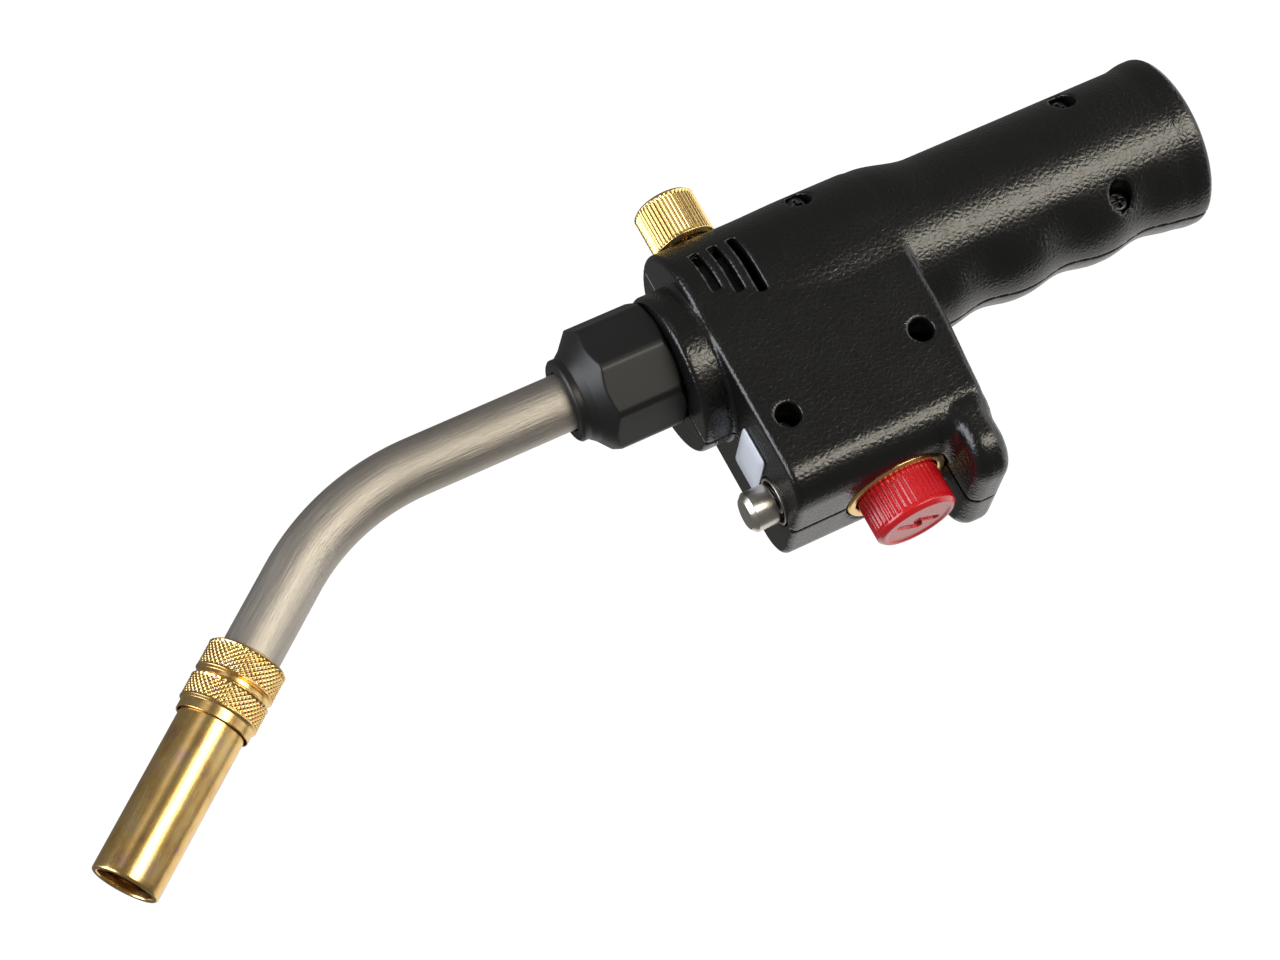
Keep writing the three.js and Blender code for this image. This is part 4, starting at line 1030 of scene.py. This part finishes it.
# %% Collar
low, high = span("collar_grip")
start, end = low[Z], high[Z]
corner_r = 14.6
flat = corner_r * math.cos(math.pi / 8)
turn = math.radians(6.5)


def shape(radius, angle, height):
    """The least of radius, flat / cos(angle from the flat's middle) and the corners.

    The corners lie at turn + n * 45 degrees from -Y, towards -X.
    """
    from_flat = np.mod(-np.pi / 2 - angle - turn, np.pi / 4) - np.pi / 8
    cut = np.minimum(flat / np.cos(from_flat), corner_r - 0.25)
    return np.where(radius > 9.9, np.minimum(radius, cut), radius), height


neck = 9.3
profile = [(8.3, start), (corner_r - 1.2, start, 0.3), (corner_r + 0.1, start + 1.2, 0.3),
           (corner_r + 0.1, end - 7.2, 0.5), (neck + 1.4, end - 3.7, 0.8),
           (neck, end - 1.9, 0.6), (neck, end - 0.5, 0.3), (neck - 0.5, end, 0.3),
           (6.7, end, 0.2), (6.7, end - 10), (8.3, end - 10)]
lathe_piece("swivel_collar", profile, "burner", "satin_black", ["collar_grip"],
            closed=True, shape=shape, sides=256, longest=0.5)

# %% [markdown]
# ## The burner
# The burner tube is straight, bent once, and straight again. `bent` carries any piece
# that was made along a straight Z axis round that bend: the distance along the axis
# becomes a place on the bent line, and the offsets turn with it. It also places the ring
# and the flame tube, which lie past the bend.

# %% The bend
BEND_ANGLE = math.radians(38.25)
BEND_R = 54.0
BEND_CORNER = 203.6
tangent = BEND_R * math.tan(BEND_ANGLE / 2)
BEND_START = BEND_CORNER - tangent
ARC = BEND_R * BEND_ANGLE


def bent(points):
    """Each point's place on the arc, angle = length / BEND_R, plus its turned offset."""
    s = points[:, 2]
    a = np.clip((s - BEND_START) / BEND_R, 0, BEND_ANGLE)
    beyond = np.maximum(s - BEND_START - ARC, 0)
    before = np.minimum(s, BEND_START)
    x = -BEND_R * (1 - np.cos(a)) - beyond * np.sin(a)
    z = before + BEND_R * np.sin(a) + beyond * np.cos(a)
    return np.stack([
        x + points[:, 0] * np.cos(a), points[:, 1], z + points[:, 0] * np.sin(a)], axis=1)


def past_corner(distance):
    """The place along the straightened tube of a distance from the bend's corner."""
    return BEND_START + ARC - tangent + distance


def surface_uv(faces, rows, columns):
    """A UV for every face corner: once round the piece, and along it by rows."""
    column = faces % columns
    row = faces // columns
    wraps = column.max(axis=1, keepdims=True) - column > columns / 2
    return np.stack([(column + wraps * columns) / columns, row / rows * 6.0], axis=-1)


def bent_piece(name, profile, finish, nodes, **settings):
    """Turns a profile and bends it with the tube."""
    points, faces = turned(profile, **settings)
    sides = settings.get("sides", 96)
    uv = surface_uv(faces, len(points) // sides, sides)
    piece(name, bent(points), faces, "burner", finish, nodes, uv)


tube_start = span("burner_tube")[0][Z]
TUBE_R = 6.35
bent_piece("steel_tube", [
    (TUBE_R, tube_start, 0.2), (TUBE_R, past_corner(50), 0.2),
    (TUBE_R - 0.9, past_corner(50), 0.2), (TUBE_R - 0.9, tube_start, 0.2),
], "stainless_tube", ["burner_tube"], closed=True, longest=1.2)

# %% [markdown]
# The ring that clamps the flame tube has two diamond-knurled bands with a groove
# between them and a smooth lip. The flame tube's mouth is rolled in to a thick rim.

# %% Ring and flame tube
crest = 8.65
start, groove, end = past_corner(38.3), past_corner(45.6), past_corner(54.3)
lip = end - 2.3
depth, ridges, lean = 0.42, 40, 1.15


def shape(radius, angle, height):
    """Radius - depth (1 - ridges leaning left times ridges leaning right)."""
    from_ends = np.minimum(height - start - 0.5, lip - 0.5 - height)
    cut = smooth_step(np.minimum(from_ends, np.abs(height - groove) - 1.0) / 0.4)
    cut = cut * (radius > crest - 0.05)
    around = ridges * angle / (2 * np.pi)
    along = height / lean
    teeth = ridge(around + along) * ridge(around - along)
    return radius - depth * cut * (1 - teeth), height


profile = [(6.65, start, 0.1), (crest - 0.6, start, 0.3), (crest, start + 0.5, 0.1),
           (crest, groove - 0.9, 0.2), (crest - 0.7, groove - 0.45, 0.15),
           (crest - 0.7, groove + 0.45, 0.15), (crest, groove + 0.9, 0.2),
           (crest, lip - 0.4, 0.1), (8.1, lip, 0.1), (8.1, end, 0.25), (7.8, end, 0.1),
           (7.8, groove + 0.7), (6.65, groove + 0.7)]
bent_piece("knurled_ring", profile, "burner_brass", ["tip_ring"],
           closed=True, sides=400, shape=shape, longest=0.2)

start, end = past_corner(46.6), past_corner(90.8)
outer, bore, mouth = 7.33, 6.7, 6.1
profile = [(bore, start), (outer, start, 0.2), (outer, end, 0.55), (mouth, end, 0.5),
           (mouth, end - 1.7, 0.3), (bore, end - 2.4, 0.3)]
bent_piece("flame_tube", profile, "burner_brass", ["burner_tip"],
           closed=True, sides=160, longest=1.0)

start, end = past_corner(24), past_corner(82)
bent_piece("spark_rod", [(0, start), (0.7, start), (0.7, end, 0.4), (0, end)],
           "spring_steel", ["electrode"], sides=32)
start, end = past_corner(53), past_corner(69)
bent_piece("insulator", [(0.85, start), (2, start, 0.3), (2, end, 0.6), (0.85, end, 0.1)],
           "ceramic", ["electrode_insulator"], closed=True, sides=48)

# %% [markdown]
# ## The gas inlet
# Seen from behind, the handle is a socket with a fine internal thread, a gasket on its
# floor and a probe in the middle. The thread is the same ridge as a knurl, run once
# round the bore for each pitch along it.

# %% Inlet
THREAD_PITCH = 1.27
low, high = span("inlet_body")
mouth, end, outer = low[Z], high[Z], high[X]
floor, back = mouth + 13, mouth + 17


def shape(radius, angle, height):
    """Radius + depth (1 - ridge) in the bore, a ridge per pitch and turn."""
    inside = (np.abs(radius - 12.1) < 0.05) * smooth_step(floor - 0.8 - height)
    thread = ridge(height / THREAD_PITCH - angle / (2 * np.pi))
    return radius - 0.05 + 0.55 * inside * (1 - thread), height


profile = [(12.1, mouth, 0.3), (outer - 0.6, mouth, 0.3), (outer, mouth + 0.6, 0.3),
           (outer, back, 0.2), (6, back), (6, end, 0.3), (3.3, end), (3.3, back + 2),
           (2, back + 2), (2, floor), (12.1, floor)]
lathe_piece("threaded_inlet", profile, "torch_body", "turned_brass", ["inlet_body"],
            closed=True, sides=128, shape=shape, longest=0.16)
low, high = span("inlet_gasket")
ring = [(7.2, low[Z], 0.3), (high[X], low[Z], 0.4), (high[X], high[Z]), (7.2, high[Z])]
lathe_piece("gasket", ring, "torch_body", "black_rubber", ["inlet_gasket"], closed=True)
low, high = span("inlet_probe")
tip, end = low[Z], high[Z]
face = tip + 3.1
probe = [(0.7, tip, 0.1), (1.5, tip, 0.5), (1.6, face), (6.6, face, 0.2),
         (6.6, face + 1.5), (1.6, face + 1.5), (1.6, end), (0.7, end)]
lathe_piece("probe", probe, "torch_body", "turned_brass", ["inlet_probe"], closed=True)

# %% [markdown]
# ## Springs
# A spring is a round wire along a helix, with its ends closed to a point. It is squeezed
# when its joint moves; each coil gets a mesh of its own.

# %% Springs
def coil(name, node, axis, wire, turns):
    """(R + w cos b) outwards at angle a, rise(a) + w sin b along; w is 0 at both ends."""
    low, high = span(node)
    centre = (low + high) / 2
    length = high[axis] - low[axis]
    radius = (high - low)[Y] / 2 - wire
    t = np.linspace(0, 1, int(turns * 28))[:, None]
    section = np.arange(10) * 2 * np.pi / 10
    angle = t * turns * 2 * np.pi
    ends = np.minimum(1, np.minimum(t, 1 - t) * 1e6)
    out = radius + wire * ends * np.cos(section)
    rise = t * (length - 2 * wire) + wire + wire * ends * np.sin(section)
    points = np.stack([out * np.cos(angle), out * np.sin(angle), rise], axis=-1)
    points = points.reshape(-1, 3)
    if axis == X:
        points = along_x(points) + [low[X], centre[Y], centre[Z]]
    else:
        points = points + [centre[X], centre[Y], low[Z]]
    made = piece(name, points, grid_faces(len(t), 10), "torch_body", "spring_steel", [node])
    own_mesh(made)


coil("button_coil", "button_spring", X, 0.35, 6)
coil("valve_coil", "valve_spring", X, 0.3, 6)
coil("pin_coil", "pin_spring", Z, 0.4, 4)

# %% [markdown]
# ## What stays as it is
# The pieces inside have the right shape already, and no one sees them until the torch
# is opened. They keep their meshes and get the finishes that the record gives them.

# %% Finishes for the inner pieces
slot_of = {row["node"]: row["material_slot"] for row in frame["record"]["subparts"]}
kept = 0
# The valve block's near-black zinc_plate finish from the record is painted shade behind the
# vents.
for node, thing in frame["nodes"].items():
    for holder in thing.material_slots:
        holder.material = finishes[slot_of[node]]
    kept += not thing.hide_render
print(kept, "inner pieces keep their shape")

# %% [markdown]
# ## Floor
# The floor is a matt disc half a metre below the handle's end, and no part of the
# object. Its glow grows with the distance from the middle, so that its edge melts into
# the white background.

# %% Floor disc
FLOOR_R = 600.0
line = [(0, -500), (FLOOR_R, -500)]
points, faces = turned(line, 96, longest=60)
mesh = build_mesh("floor", points, faces)
if mesh.polygons[0].normal.z < 0:
    mesh.flip_normals()
paint = Finish("pale_floor", (0.85, 0.85, 0.85), 0.9)
from_middle = paint.node("VectorMath", {"operation": "LENGTH"}, {
    0: paint.node("TexCoord", out="Object")}, out=1)
edge = (from_middle * (2 / (FLOOR_R * MM)) - 1.0).clipped()
paint.feed("Emission Color", paint.blend(edge, (0.3, 0.3, 0.3, 1), (1, 1, 1, 1)))
paint.feed("Emission Strength", 1.0)
mesh.materials.append(paint.material)
sheet = bpy.data.objects.new("floor", mesh)
bpy.context.scene.collection.objects.link(sheet)
